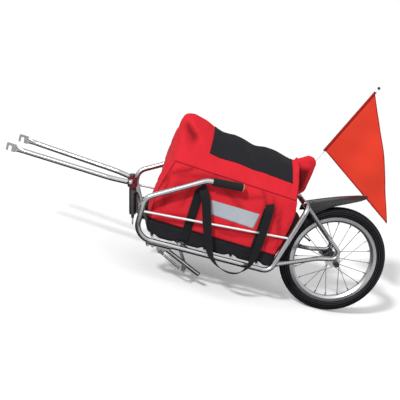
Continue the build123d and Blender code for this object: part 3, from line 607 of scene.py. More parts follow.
def foldPush(p):  # creases and slack, in millimetres along the surface's own normal
    x, y, z = p
    push = 0.0
    frontWall = between(bag["wallShare"], x)
    for height, slope, wide, depth, waver in frontCreases:
        push += frontWall * depth * exp(-((z - height - slope * y) / wide) ** 2) * cos(y * waver)
    push += frontWall * 1.6 * sin(z * 0.07 + y * 0.05)
    side = between(bag["sideShare"], abs(y)) * (z < seamZ(x) + 4)
    for cx, cz, run, length, wide, depth in bagCreases:
        if y > 0:
            cx, run = cx + 14, run + 9
        dx, dz = x - cx, z - cz
        c, s = cos(radians(run)), sin(radians(run))
        along, across = dx * c + dz * s, dz * c - dx * s
        across += 5 * sin(along * 0.05)
        share = exp(-(along / length) ** 4 - (across / wide) ** 2)
        swell = exp(-(along / length) ** 4 - ((across - 2 * wide) / (1.4 * wide)) ** 2)
        push += side * depth * (share - 0.45 * swell)
    push += side * -1.6 * exp(-((z - 215 - 3 * sin(x * 0.03)) / 7) ** 2)
    roof = between(bag["roofShare"], z - seamZ(x)) * (1 - frontWall)
    along, across = valleyPlace(x, z)
    reach = exp(-(2.0 * (along - 0.5)) ** 6) * min(1.0, max(0.0, (abs(y) - 4) / 14))
    for offset, wide, depth in ((0, 7, -6.5), (14, 8, 3.2), (-22, 8, 3.4)):
        push += reach * depth * exp(-((across - offset) / wide) ** 2)
    for x0, z0, slope, wide, middle, tall, depth in roofCreases:
        push += roof * depth * exp(-((x - x0 - (z - z0) * slope) / wide) ** 2 - ((z - middle) / tall) ** 2)
    push += roof * 2.2 * sin(x * 0.031 + z * 0.022 + 1.2) * cos(abs(y) * 0.02)
    push += roof * -2.0 * exp(-((z - 436 + (x + 600) * 0.06 + 2 * sin(x * 0.04)) / 6) ** 2)
    broad = noise.noise(Vector((x * 0.012, y * 0.012, z * 0.015)))
    fine = noise.noise(Vector((x * 0.034, y * 0.034, z * 0.042)) + Vector((7, 3, 1)))
    return push + 2.6 * broad + 1.0 * fine


def paintHollowShade(points, rings):  # painted shade: how dark the ear's pocket, the gable's valley and the creases are drawn, 0 to 1
    ringCount = len(rings[0])
    rearStart = sum(bag["halfCounts"][:4])
    hollowShade = [0.0] * len(points)
    for ring in rings[bag["bodyLevels"] - 2:]:
        for k in range(rearStart, ringCount // 2 + 1):
            for index in {ring[k], ring[(ringCount - k) % ringCount]}:
                p = points[index]
                fromRim = between(bag["tipX"], p.z) - 17 - p.x
                under = between([(410, 0), (425, 1), (488, 1), (506, 0)], p.z)
                hollowShade[index] = 0.92 * under * max(0.0, min(1.0, fromRim / 12))
    for index in {i for ring in rings for i in ring}:
        p = points[index]
        along, across = valleyPlace(p.x, p.z)
        if p.x < bag["frontPart"] and p.z > seamZ(p.x) and abs(p.y) > 6:
            reach = 12 + 26 * max(0.0, min(1.0, along)) if across < 0 else 4
            shade = 0.72 * exp(-(2.0 * (along - 0.5)) ** 6 - (across / reach) ** 2)
            hollowShade[index] = max(hollowShade[index], shade)
        for cx, cz, run, length, wide, depth in bagCreases:
            if abs(p.y) < 125 or p.z > seamZ(p.x):
                continue
            c, s = cos(radians(run)), sin(radians(run))
            dx, dz = p.x - cx - (14 if p.y > 0 else 0), p.z - cz
            line = exp(-((dx * c + dz * s) / length) ** 4 - ((dz * c - dx * s) / (wide * 0.9)) ** 2)
            hollowShade[index] = max(hollowShade[index], -0.16 * depth * line)
    return hollowShade


def buildBagShell():
    levels = bagLevels()
    halfCount = sum(bag["halfCounts"]) + 1
    ringCount = 2 * (halfCount - 1)
    points, rings = [], []
    for half, zAt, roofShare in levels:
        ring = bagRing(half, zAt, roofShare)
        mirrored = [(x, -y) for x, y in reversed(ring[1:-1])]
        row = []
        for x, y in ring + mirrored:
            row.append(len(points))
            z = zAt(min(bagRear, max(bagFront, x)))
            if roofShare > 0 and x > bagRear:
                z = seamZ(bagRear) + riseShare(half) * (between(bag["ridgeZ"], x) - seamZ(bagRear))
            elif roofShare > 0 and x > bagFront:
                z = roofZ(x, half)
            if y > bag["slumpY"] and x < bag["frontPart"]:  # the front wall hangs back on the far side
                lean = min(1.0, (y - bag["slumpY"]) / (-2 * bag["slumpY"]))
                x += between(bag["farSlump"], z) * lean * max(0.0, min(1.0, (bag["frontPart"] - x) / 60))
            points.append(Vector((x, y, z)))
        rings.append(row)
    faces = []
    for low, high in zip(rings, rings[1:]):
        for k in range(ringCount):
            n = (k + 1) % ringCount
            faces.append((low[k], high[k], high[n], low[n]))
    top = rings[-1]  # the ridge, zipped up from both sides
    faces.append((top[0], top[-1], top[1]))
    for k in range(1, halfCount - 2):
        faces.append((top[k], top[ringCount - k], top[ringCount - k - 1], top[k + 1]))
    faces.append((top[halfCount - 2], top[halfCount], top[halfCount - 1]))
    floor = rings[0]  # closed below, where it sits on the stiff base
    inner = floor
    for share in (0.75, 0.45, 0.15):
        row = []
        for index in floor:
            p = points[index]
            row.append(len(points))
            points.append(Vector((-484 + (p.x + 484) * (0.3 + 0.7 * share), p.y * share, p.z)))
        for k in range(ringCount):
            n = (k + 1) % ringCount
            faces.append((row[k], inner[k], inner[n], row[n]))
        inner = row
    faces.append(tuple(inner))
    uvs = [((p.x + abs(p.y)) * mm, (p.z + 0.4 * abs(p.y)) * mm) for p in points]
    shell = faceOutwards(meshFrom("bagShell", points, faces, uvs))
    pinned = set(rings[0]) | set(rings[bag["bodyLevels"]]) | set(rings[-1])
    wallCount, turnCount, sideCount, cornerCount, pocketCount = bag["halfCounts"][:5]
    sideEnd = wallCount + turnCount + sideCount
    rearStart = sideEnd + cornerCount
    columns = (wallCount + turnCount // 2, sideEnd + cornerCount // 2, rearStart + pocketCount, halfCount - 1)
    for row in rings:
        for column in columns:
            pinned |= {row[column], row[(ringCount - column) % ringCount]}
    pinned |= set(range(rings[-1][-1] + 1, len(points)))
    # painted shade in the hollows, which the red cloth reads to darken its colour
    layer = shell.data.attributes.new("hollowShade", "FLOAT", "POINT")
    layer.data.foreach_set("value", paintHollowShade(points, rings))
    return shell, points, rings, sorted(pinned), columns


puff = {
    "frames": 20, "cap": 5.0,
    "settings": {"vertex_group_mass": "sewn", "use_pressure": True, "uniform_pressure_force": 3.0,
                 "shrink_min": -0.012, "tension_stiffness": 25, "compression_stiffness": 25,
                 "bending_stiffness": 0.4, "mass": 0.3},
}


def puffBag(shell, points, pinned):  # air pressure between the sewn lines, then the move is capped
    group = shell.vertex_groups.new(name="sewn")
    group.add(pinned, 1.0, "REPLACE")
    pick(shell)
    cloth = shell.modifiers.new("Puff", "CLOTH")
    for key, value in puff["settings"].items():
        setattr(cloth.settings, key, value)
    cloth.settings.effector_weights.gravity = 0
    cloth.point_cache.frame_start, cloth.point_cache.frame_end = 1, puff["frames"]
    for step in range(1, puff["frames"] + 1):
        bpy.context.scene.frame_set(step)
    bpy.ops.object.modifier_apply(modifier=cloth.name)
    bpy.context.scene.frame_set(1)
    for vertex, rest in zip(shell.data.vertices, points):
        move = vertex.co - rest * mm
        if move.length > puff["cap"] * mm:
            vertex.co = rest * mm + move.normalized() * puff["cap"] * mm


def clearSides(p):  # room for the rods, the rear uprights and the cross tube behind
    limit = bag["sideLimit"]
    if p.z < footZ(p.x) + 7:
        limit = 138.6
    elif p.z < 290:
        limit = min(limit, between(bag["rodY"], p.x) - 5.2)
    p.y = max(-limit, min(limit, p.y))
    if p.x > -300 and p.z < 396:
        p.x = min(p.x, between(bag["rearX"], p.z) + 3.0)
    if p.x < -600:
        p.x = max(p.x, between(bag["frontX"], p.z) - 5.0)
    return p


shell, shellPoints, shellRings, sewnPoints, cornerColumns = buildBagShell()
puffBag(shell, shellPoints, sewnPoints)
normals = [v.normal.copy() for v in shell.data.vertices]
for vertex, normal in zip(shell.data.vertices, normals):
    place = vertex.co / mm
    if place.z > footZ(place.x) + 1.5 and not (place.x > -232 and place.z < 420):
        place = place + normal * foldPush(place)
    vertex.co = clearSides(place) * mm
seamLine = [shell.data.vertices[i].co / mm for i in shellRings[bag["bodyLevels"]]]
frontCorners = [[shell.data.vertices[row[k]].co / mm for row in shellRings]
                for k in (cornerColumns[0], len(shellRings[0]) - cornerColumns[0])]
rearEdges = [[shell.data.vertices[row[k]].co / mm for row in shellRings[bag["bodyLevels"]:-6]]
             for k in (cornerColumns[1], len(shellRings[0]) - cornerColumns[1])]
footLine = [shell.data.vertices[i].co / mm for i in shellRings[0]]
subdivided(shell)
finishPiece(shell, bagRed, "frame", ["bag_body"])
print("bag shell sewn,", len(shell.data.polygons), "faces")


def addPiping():
    first, last = cornerColumns[:2]
    pieces = []
    for label, line in (("Left", seamLine[first:last + 1]), ("Right", seamLine[-last:-first + 1])):
        pieces.append(softTube("pipingSeam" + label, line, 1.7))
    for label, line in zip(("Left", "Right"), frontCorners):
        pieces.append(softTube("pipingFront" + label, line[1:bag["bodyLevels"] + 1], 1.4))
    for label, line in zip(("Left", "Right"), rearEdges):
        pieces.append(softTube("pipingRear" + label, line, 1.5))
    for piece in pieces:
        finishPiece(piece, pipingRed, "frame")
    foot = softTube("pipingFoot", footLine, 2.0, closed=True)
    finishPiece(foot, webbingBlack, "frame")


addPiping()


# Stiff black base of the bag, sagging a little between the floor rods

base = {"halfWidth": 138.0, "front": [(205.2, -717), (180, -711), (165, -704), (156, -692)],
        "rear": [(205.2, -247), (170, -245), (162, -248), (156, -258)],
        "levels": [205.2, 196, 186, 176, 168, 162, 158, 156.2], "sag": 9.0,
        "rods": (-685, -590, -495, -400, -305)}


def sagShare(x):  # 0 on a floor rod, 1 well between two
    return min(1.0, min(abs(x - rod) for rod in base["rods"]) / 24) ** 2


def buildBase():
    points, rings = [], []
    tables = [sorted(base[key]) for key in ("front", "rear")]
    top, bottom = base["levels"][0], base["levels"][-1]
    sideCount, endCount, cornerCount = 44, 16, 4
    for level, z in enumerate(base["levels"]):
        x0, x1 = (between(table, z) for table in tables)
        half = base["halfWidth"] - max(0.0, 162 - z) * 0.9
        corner = 16.0
        ring = []
        for cx, cy, start in ((x0 + corner, -half + corner, pi), (x1 - corner, -half + corner, 1.5 * pi),
                              (x1 - corner, half - corner, 0.0), (x0 + corner, half - corner, 0.5 * pi)):
            angles = [start + pi / 2 * k / cornerCount for k in range(cornerCount + 1)]
            ring.append([(cx + corner * cos(angle), cy + corner * sin(angle)) for angle in angles])
        row = []
        for index, arc in enumerate(ring):
            row += arc
            following = ring[(index + 1) % 4][0]
            count = sideCount if index in (0, 2) else endCount
            row += [(arc[-1][0] + (following[0] - arc[-1][0]) * k / count,
                     arc[-1][1] + (following[1] - arc[-1][1]) * k / count) for k in range(1, count)]
        rings.append([])
        for x, y in row:
            wave = 0.9 * sin(x * 0.05 + z * 0.11) * (0 < level < 6)
            rings[-1].append(len(points))
            share = (top - z) / (top - bottom)
            drop = (bag["footZ"][0][1] - footZ(x)) * (1 - share) + base["sag"] * share * sagShare(x)
            points.append(Vector((x, y - wave if y > 0 else y + wave, z - drop)))
    lowest = rings[-1]
    for share in (0.97, 0.85, 0.6, 0.3, 0.08):
        row = []
        for index in lowest:
            p = points[index]
            x, y = -488 + (p.x + 488) * (0.4 + 0.6 * share), p.y * share
            row.append(len(points))
            points.append(Vector((x, y, bottom + 0.1 - base["sag"] * sagShare(x))))
        rings.append(row)
    faces = []
    count = len(rings[0])
    for high, low in zip(rings, rings[1:]):
        for k in range(count):
            n = (k + 1) % count
            faces.append((low[k], low[n], high[n], high[k]))
    faces.append(tuple(reversed(rings[-1])))
    faces.append(tuple(rings[0]))
    uvs = [((p.x + abs(p.y)) * mm, (p.z + abs(p.y) * 0.3) * mm) for p in points]
    return faceOutwards(meshFrom("bagFloor", points, faces, uvs))


floorPiece = buildBase()
finishPiece(floorPiece, bagBlack, "frame", ["bag_base"])
print("bag base laid")


# Black pad on the back of the bag, towards the wheel

backPad = {"half": 117.0, "low": 186.0, "high": 352.0, "columns": 28, "rows": 22,
           "depth": [(186, 9), (196, 16), (215, 20), (264, 28), (305, 34), (328, 37), (342, 30), (352, 10)]}


def addBackPad():
    wide, tall = backPad["columns"], backPad["rows"]
    points, faces = [], []
    for face in (0, 1):
        for i in range(tall + 1):
            z = backPad["low"] + (backPad["high"] - backPad["low"]) * i / tall
            ends = min(1.0, (backPad["high"] - z + 1) / 22)
            half = backPad["half"] - 16 * (1 - ends) ** 2
            for j in range(wide + 1):
                u = 2 * j / wide - 1
                round_ = (1 - abs(u) ** 6) ** 0.5
                seat = between(bag["rearX"], z) - 4.0
                quilt = 1.2 * cos(pi * 3 * u) * round_
                out = (between(backPad["depth"], z) * (0.25 + 0.75 * round_) + quilt) * face
                points.append(Vector((seat + 4.0 * face + out, half * u, z)))
    count = (wide + 1) * (tall + 1)
    for face in (0, 1):
        for i in range(tall):
            for j in range(wide):
                q = face * count + i * (wide + 1) + j
                r = q + wide + 1
                faces.append((q, q + 1, r + 1, r) if face else (q, r, r + 1, q + 1))
    rim = list(range(wide + 1)) + [i * (wide + 1) + wide for i in range(1, tall + 1)]
    rim += [tall * (wide + 1) + j for j in range(wide - 1, -1,
                                                 -1)] + [i * (wide + 1) for i in range(tall - 1, 0, -1)]
    for k, q in enumerate(rim):
        r = rim[(k + 1) % len(rim)]
        faces.append((q, r, r + count, q + count))
    pad = faceOutwards(meshFrom("backPad", points, faces, [(p.y * mm, p.z * mm) for p in points]))
    subdivided(pad)
    finishPiece(pad, bagBlack, "frame")


addBackPad()


# Flat pieces sewn to the shell: roof panel, reflective band, straps

patches = {
    "panelLift": 0.7, "bandLift": 0.8, "strapLift": 1.5, "stitch": 3.4, "gap": 2.0, "threadRadius": 0.42,
    "panelRidge": (-566, -268), "panelEave": (-575, -262.5), "panelHalf": 90.6,
    "reflective": [(-530, 328), (-350.5, 323.5), (-357.5, 267.5), (-514, 278.5)],
    "strapX": (-577, -330), "strapZ": (163, 352), "strapWidth": 30.0,
}


def thickened(obj, thick):
    return addModifier(obj, "SOLIDIFY", thickness=thick * mm, offset=-1.0)


def layOnShell(obj, lift, **more):
    return addModifier(obj, "SHRINKWRAP", target=shell, wrap_method="NEAREST_SURFACEPOINT",
                       wrap_mode="ABOVE_SURFACE", offset=lift * mm, **more)


def quadRows(corners, along, across):
    a, b, c, d = (Vector(p) for p in corners)
    return [[a.lerp(d, i / along).lerp(b.lerp(c, i / along), j / across) for j in range(across + 1)]
            for i in range(along + 1)]


def stitchRow(name, path, material, lift):  # short threads along a line
    guide = meshFrom("guide", [Vector(p) for p in path], [])
    layOnShell(guide, lift)
    spots = [v.co / mm for v in guide.data.vertices]
    bpy.data.objects.remove(guide)
    points, faces = [], []
    spare = 0.0
    for first, second in zip(spots, spots[1:]):
        run = second - first
        length = run.length
        if length < 1e-4:
            continue
        run /= length
        side = run.cross(Vector((0.2, 0.9, 0.3))).normalized()
        top = side.cross(run)
        at = spare
        while at < length:
            start, end = first + run * at, first + run * min(at + patches["stitch"], length + 1.2)
            n = len(points)
            for share, size in ((0.0, 0.5), (0.25, 1.0), (0.75, 1.0), (1.0, 0.5)):
                for k in range(4):
                    angle = pi / 2 * k
                    reach = (side * cos(angle) + top * sin(angle)) * patches["threadRadius"] * size
                    points.append(start.lerp(end, share) + reach)
            for ring in range(3):
                for k in range(4):
                    q, r = n + ring * 4 + k, n + ring * 4 + (k + 1) % 4
                    faces.append((q, r, r + 4, q + 4))
            faces += [(n + 3, n + 2, n + 1, n), (n + 12, n + 13, n + 14, n + 15)]
            at += patches["stitch"] + patches["gap"]
        spare = at - length
    obj = meshFrom(name, points, faces, [(p.x * mm, p.z * mm) for p in points])
    return finishPiece(obj, material, "frame")


def densePath(corners, step=6.0, closed=True):
    corners = [Vector(p) for p in corners]
    ends = corners[1:] + ([corners[0]] if closed else [])
    path = []
    for first, second in zip(corners, ends):
        count = max(1, round((second - first).length / step))
        path += [first.lerp(second, k / count) for k in range(count)]
    if not closed:
        path.append(corners[-1])
    return path


def roofPoint(x, y):
    return Vector((x, y, roofZ(max(bagFront, min(bagRear, x)), abs(y))))


def addRoofPanel():  # one black panel over the ridge, down both slopes
    (ridgeFront, ridgeRear), (eaveFront, eaveRear) = patches["panelRidge"], patches["panelEave"]
    half = patches["panelHalf"]
    rows = []
    for i in range(65):
        row = []
        for j in range(45):
            y = -half + 2 * half * j / 44
            lean = min(1.0, abs(y) / half)
            front = ridgeFront + (eaveFront - ridgeFront) * lean
            rear = ridgeRear + (eaveRear - ridgeRear) * lean
            row.append(roofPoint(front + (rear - front) * i / 64, y))
        rows.append(row)
    panel = gridSheet("roofPanel", rows)
    layOnShell(panel, patches["panelLift"])
    thickened(panel, 0.9)
    finishPiece(panel, bagBlack, "frame")
    for side, label in ((-1, "Left"), (1, "Right")):
        inset = 4.0
        edge = [roofPoint(ridgeFront + inset, side * 4), roofPoint(eaveFront + inset, side * (half - inset)),
                roofPoint(eaveRear - inset, side * (half - inset)), roofPoint(ridgeRear - inset, side * 4)]
        stitchRow("panelStitch" + label, densePath(edge, closed=False), threadBlack, lift=1.1)
        outer = [roofPoint(eaveFront - 3, side * (half + 3.5)), roofPoint(eaveRear + 3, side * (half + 3.5))]
        stitchRow("panelSeamStitch" + label, densePath(outer, closed=False), threadRed, lift=0.5)


def addReflectiveBand(side, label):
    corners = [(x, side * 141.0, z) for x, z in patches["reflective"]]
    a, b, c, d = corners
    sheet = gridSheet("reflectiveBand" + label, quadRows((a, d, c, b), 40, 12))
    layOnShell(sheet, patches["bandLift"])
    thickened(sheet, 0.7 * -side)
    finishPiece(sheet, bandGrey, "frame")
    inner = [Vector(p).lerp(Vector((-438, side * 141, 299)), 0.04) for p in corners]
    stitchRow("bandStitch" + label, densePath(inner), threadBlack, lift=1.0)


def addSewnStraps(side, label):
    half = patches["strapWidth"] / 2
    low, high = patches["strapZ"]
    for number, x in enumerate(patches["strapX"]):
        rows = []
        for i in range(49):
            z = low + (high - low) * i / 48
            round_ = sqrt(max(0.0, 1 - max(0.0, (z - (high - 9)) / 9) ** 2))
            width = half - 7 * (1 - round_)
            rows.append([(x - width + 2 * width * j / 8, side * 141.0, z) for j in range(9)])
        strap = gridSheet(f"sewnStrap{label}{number + 1}", rows)
        for vertex in strap.data.vertices:
            if vertex.co.z < footZ(x) * mm:
                vertex.co.y = side * 138.9 * mm
        upper = strap.vertex_groups.new(name="onShell")
        upper.add([v.index for v in strap.data.vertices if v.co.z >= footZ(x) * mm], 1.0, "REPLACE")
        layOnShell(strap, patches["strapLift"], vertex_group="onShell")
        thickened(strap, 1.7 * side)
        finishPiece(strap, webbingBlack, "frame", ["bag_bands"])
        box = [(x - half + 4, side * 141, high - 8), (x + half - 4, side * 141, high - 8),
               (x + half - 4, side * 141, high - 34), (x - half + 4, side * 141, high - 34)]
        stitchRow(f"strapBox{label}{number + 1}", densePath(box, 4), threadBlack, lift=1.75)
        cross = densePath([box[0], box[2]], 4, closed=False)
        stitchRow(f"strapCross{label}{number + 1}", cross, threadBlack, lift=1.75)


addRoofPanel()
for side, label in ((-1, "Left"), (1, "Right")):
    addReflectiveBand(side, label)
    addSewnStraps(side, label)
print("panel, band and straps sewn on")


# Free loops of webbing to carry the bag by

loops = {
    "width": 30.0, "thick": 2.4,
    "route": [
        (-577, -139.4, 366, 0), (-573, -150, 362, 0), (-563, -161, 350, 4), (-553, -166, 330, 6),
        (-541, -168, 300, 10), (-519, -169, 240, 18), (-497, -170, 185, 34), (-474, -172, 142, 58),
        (-440, -172, 114, 76), (-398, -171, 103, 82), (-362, -171, 112, 70), (-338, -171, 145, 44),
        (-329, -169, 195, 20), (-326, -167, 255, 12), (-327, -164, 310, 6), (-328, -160, 345, 2),
        (-329, -150, 362, 0), (-330, -139.4, 366, 0)],
}


def addLoop(side, label, node):
    path = smoothLine(loops["route"], 6)
    half, thick = loops["width"] / 2, loops["thick"] / 2
    upper = [(-half + 0.7, thick * 0.8), (-half + 2, thick), (0, thick * 0.9), (half - 2, thick),
             (half - 0.7, thick * 0.8)]
    outline = [(-half, 0)] + upper + [(half, 0)] + [(w, -t) for w, t in reversed(upper)]
    points, uvs, faces = [], [], []
    length = 0.0
    for i, (x, y, z, turn) in enumerate(path):
        before, after = Vector(path[max(i - 1, 0)][:3]), Vector(path[min(i + 1, len(path) - 1)][:3])
        run = (after - before).normalized()
        wide = Vector((0, -1, 0)).cross(run).normalized()
        wide = Matrix.Rotation(radians(turn), 3, run) @ wide
        out = run.cross(wide)
        length += (Vector((x, y, z)) - before).length if i else 0
        for w, t in outline:
            curl = 1.1 * (w / half) ** 2
            p = Vector((x, y, z)) + wide * w + out * (t + curl - 0.5)
            points.append(Vector((p.x, p.y * -side, p.z)))
            uvs.append(((w + half) * mm, length * mm))
    n = len(outline)
    for i in range(len(path) - 1):
        for k in range(n):
            a, b = i * n + k, i * n + (k + 1) % n
            faces.append((a, b, b + n, a + n) if side < 0 else (b, a, a + n, b + n))
    faces.append(tuple(range(n)) if side > 0 else tuple(reversed(range(n))))
    last = len(points) - n
    faces.append(tuple(range(last + n - 1, last - 1, -1)) if side > 0 else tuple(range(last, last + n)))
    loop = faceOutwards(meshFrom("carryLoop" + label, points, faces, uvs))
    finishPiece(loop, webbingBlack, "frame", [node])


addLoop(-1, "Left", "left_bag_loop")
addLoop(1, "Right", "right_bag_loop")
print("carrying loops hung")


# Mudguard: a moulded blade with ribbed skirts and a ridge along each shoulder

guard = {
    "top": [(-172, 372), (-140, 386.5), (-100, 403.5), (-51, 423), (0, 440.5), (45, 456)],
    "foot": [(-172, 334), (-135, 344), (-84, 385), (-25, 415), (46, 450)],
    "half": 31.0, "rows": 40, "wall": 2.2,
    "crown": [(0, 0), (10, 0.4), (17, 1.2), (21, 3.4), (25, 3.6), (31, 8)],
    "tip": [(-172, 1.0), (-20, 0.98), (20, 0.86), (38, 0.6), (45, 0.36)],
    "skirtFrom": 23.0, "ribbedShare": 0.62, "ribDepth": 1.1, "ridgeShare": (0.58, 0.72), "ridgeDepth": 2.6,
}


def addMudguard():
    length = guard["top"][-1][0] - guard["top"][0][0]
    middle = (guard["top"][-1][0] + guard["top"][0][0]) / 2
    deselectAll()
    bpy.ops.mesh.primitive_grid_add(x_subdivisions=guard["rows"], y_subdivisions=14, size=1,
                                    location=(middle * mm, 0, 0))
    blade = bpy.context.object
    blade.name = "ribbedGuard"
    blade.scale = (length * mm, 2 * guard["half"] * mm, 1)
    settle(blade)
    mesh = blade.data
    bpy.ops.object.mode_set(mode="EDIT")
    columns = [guard["half"] * (2 * k / 14 - 1) for k in range(15)]
    for i in range(guard["rows"] + 1):
        x = guard["top"][0][0] + length * i / guard["rows"]
        selectOnly(mesh, vertTest=lambda v: abs(v.co.x / mm - x) < 1)
        bpy.ops.transform.translate(value=(0, 0, between(guard["top"], x) * mm))
        narrow = between(guard["tip"], x)
        bpy.ops.transform.resize(value=(1, narrow, 1), center_override=(0, 0, 0))
        depth = between(guard["top"], x) - between(guard["foot"], x)
        for side in (-1, 1):
            for column, drop, bulge in ((columns[13], 0.5, 0.8), (columns[14], 1.0, 0.0)):
                y = side * column * narrow
                selectOnly(mesh, vertTest=lambda v: abs(v.co.x / mm - x) < 1 and abs(v.co.y / mm - y) < 0.5)
                fall = max(depth * drop - 1.5, 3.0 * drop)
                bpy.ops.transform.translate(value=(0, side * bulge * mm, -fall * mm))
    for column in columns[2:13]:
        def onColumn(vert):
            reach = abs(column) * between(guard["tip"], vert.co.x / mm)
            return abs(abs(vert.co.y / mm) - reach) < 0.5 and vert.co.y * column >= 0
        selectOnly(mesh, vertTest=onColumn)
        drop = between(guard["crown"], abs(column) * 1.2)
        bpy.ops.transform.translate(value=(0, 0, -drop * 0.55 * mm))
    bpy.ops.object.mode_set(mode="OBJECT")
    blade.data.update()
    inward = -1.0 if mesh.polygons[0].normal.z > 0 else 1.0
    addModifier(blade, "SOLIDIFY", thickness=guard["wall"] * mm, offset=inward)
    bpy.ops.object.mode_set(mode="EDIT")
    step = length / guard["rows"]

    def onSkirt(face):  # every second row of the skirts becomes a rib
        centre = face.calc_center_median() / mm
        number = int((centre.x - guard["top"][0][0]) / step)
        ribbed = number % 2 == 0 and number < guard["rows"] * guard["ribbedShare"]
        return ribbed and abs(face.normal.y) > 0.75 and abs(centre.y) > guard["skirtFrom"]
    selectOnly(mesh, faceTest=onSkirt)
    bpy.ops.mesh.inset(thickness=0.9 * mm, depth=guard["ribDepth"] * mm, use_individual=True)

    def onRidge(face):  # and one ridge runs along each shoulder
        centre = face.calc_center_median() / mm
        share = abs(centre.y) / (guard["half"] * between(guard["tip"], centre.x))
        low, high = guard["ridgeShare"]
        return face.normal.z > 0.4 and low < share < high
    selectOnly(mesh, faceTest=onRidge)
    bpy.ops.mesh.inset(thickness=0.9 * mm, depth=guard["ridgeDepth"] * mm)
    bpy.ops.object.mode_set(mode="OBJECT")
    addModifier(blade, "BEVEL", width=0.5 * mm, segments=2, limit_method="ANGLE", angle_limit=radians(35))
    smoothByAngle(blade, 50)
    finishPiece(blade, guardBlack, "frame", ["mudguard"])
    print("mudguard moulded,", len(blade.data.polygons), "faces")


addMudguard()


# Shoulder lugs on the tyre, one made and copied round

lugs = {"count": 84, "length": 7.4, "width": 5.0, "height": 2.6, "skew": 18,
        "rows": [(13.2, 189.6, 0.0, 32), (8.2, 193.6, 0.5, 20)]}  # y, radius, shift along the row, tilt


def addTread():
    made = []
    for y, radius, shift, tilt in lugs["rows"]:
        deselectAll()
        bpy.ops.mesh.primitive_cube_add(size=1, location=(0, 0, 0))
        lug = bpy.context.object
        lug.scale = (lugs["length"] * mm, lugs["width"] * mm, lugs["height"] * mm)
        settle(lug)
        bpy.ops.object.mode_set(mode="EDIT")
        selectOnly(lug.data, faceTest=lambda f: f.normal.z > 0.9)
        bpy.ops.transform.resize(value=(0.72, 0.72, 1))
        bpy.ops.object.mode_set(mode="OBJECT")
        for side in (-1, 1):
            lean = Matrix.Rotation(radians(-side * tilt), 4,
                                   "X") @ Matrix.Rotation(radians(side * lugs["skew"]), 4, "Z")
            for k in range(lugs["count"]):
                copy = lug.copy()
                copy.data = lug.data.copy()
                bpy.context.scene.collection.objects.link(copy)
                turn = 2 * pi * (k + shift + (0.25 if side > 0 else 0)) / lugs["count"]
                place = (Matrix.Translation((0, 0, axleZ * mm)) @ Matrix.Rotation(turn, 4, "Y")
                         @ Matrix.Translation((0, side * y * mm, radius * mm)))
                copy.data.transform(place @ lean)
                made.append(copy)
        bpy.data.objects.remove(lug)
    deselectAll()
    for copy in made:
        copy.select_set(True)
    bpy.context.view_layer.objects.active = made[0]
    bpy.ops.object.join()
    tread = bpy.context.object
    tread.name = "treadLugs"
    finishPiece(tread, tyreRubber, "wheel")
    print("tread cut,", len(tread.data.polygons), "faces")


addTread()


# Weld beads where the frame's tubes meet

welds = {"bead": 1.5, "ripple": 0.45, "count": 26, "radius": 9.9,
         "spots": [(-193, 100, 387), (-193, -100, 387), (-752, 163, 248), (-752, -163, 248)]}


def addWelds():
    turn = Vector((0, 0, 1)).rotation_difference(Vector((0, 1, 0))).to_matrix().to_4x4()
    for number, centre in enumerate(welds["spots"]):
        deselectAll()
        bpy.ops.mesh.primitive_torus_add(major_segments=2 * welds["count"], minor_segments=8,
                                         major_radius=welds["radius"] * mm, minor_radius=welds["bead"] * mm)
        bead = bpy.context.object
        bead.name = f"weldBead{number + 1}"
        bpy.ops.object.mode_set(mode="EDIT")
        step = pi / welds["count"]
        selectOnly(bead.data, vertTest=lambda v: round(atan2(v.co.y, v.co.x) / step) % 2 == 0)
        bpy.ops.transform.shrink_fatten(value=welds["ripple"] * mm)
        bpy.ops.object.mode_set(mode="OBJECT")
        bead.data.transform(Matrix.Translation(Vector(centre) * mm) @ turn)
        smoothByAngle(bead, 60)
        finishPiece(bead, silverPaint, "frame")
    print("weld beads run")


addWelds()


# Flag: thin cloth hanging in soft folds from the sleeve on its pole

flag = {
    "start": (-210.0, 157.0, 326.0), "run": (0.39347, 0.0, 0.91934), "hemLow": 243.0, "hoist": 276.0,
    "fly": 383.0, "cut": 388.0, "drop": 61.0, "bow": 15.0, "folds": [0.0, 7.0, -5.0, 6.0, 1.0],
    "sleeve": 4.9, "thick": 0.8, "hem": 4.5,
}


def flagFrame():  # the foot of the sleeve, the way up the pole and the way out along the cloth
    run = Vector(flag["run"])
    return Vector(flag["start"]) + run * flag["hemLow"], run, Vector((run.z, 0, -run.x))


def flagPoint(out, share):  # out along the fly, share of the height at that place
    start, run, fly = flagFrame()
    s = out / flag["cut"]
    low, high = -flag["drop"] * s, flag["hoist"] - (flag["hoist"] + flag["drop"]) * s
    high += flag["bow"] * sin(pi * min(1.0, s)) ** 1.3
    height = low + (high - low) * share
    at = (out - 4.4) / (flag["fly"] - 4.4) * 4
    index = max(0, min(3, int(at)))
    t = max(0.0, min(1.0, at - index))
    eased = t * t * (3 - 2 * t)
    fold = flag["folds"][index] * (1 - eased) + flag["folds"][index + 1] * eased
    loose = min(1.0, out / 90)
    fold += loose * 1.8 * sin(out * 0.045 + height * 0.035) + loose * 1.2 * sin(height * 0.06 - out * 0.02)
    return start + fly * out + run * height + Vector((0, fold * (0.75 + 0.25 * share), 0))


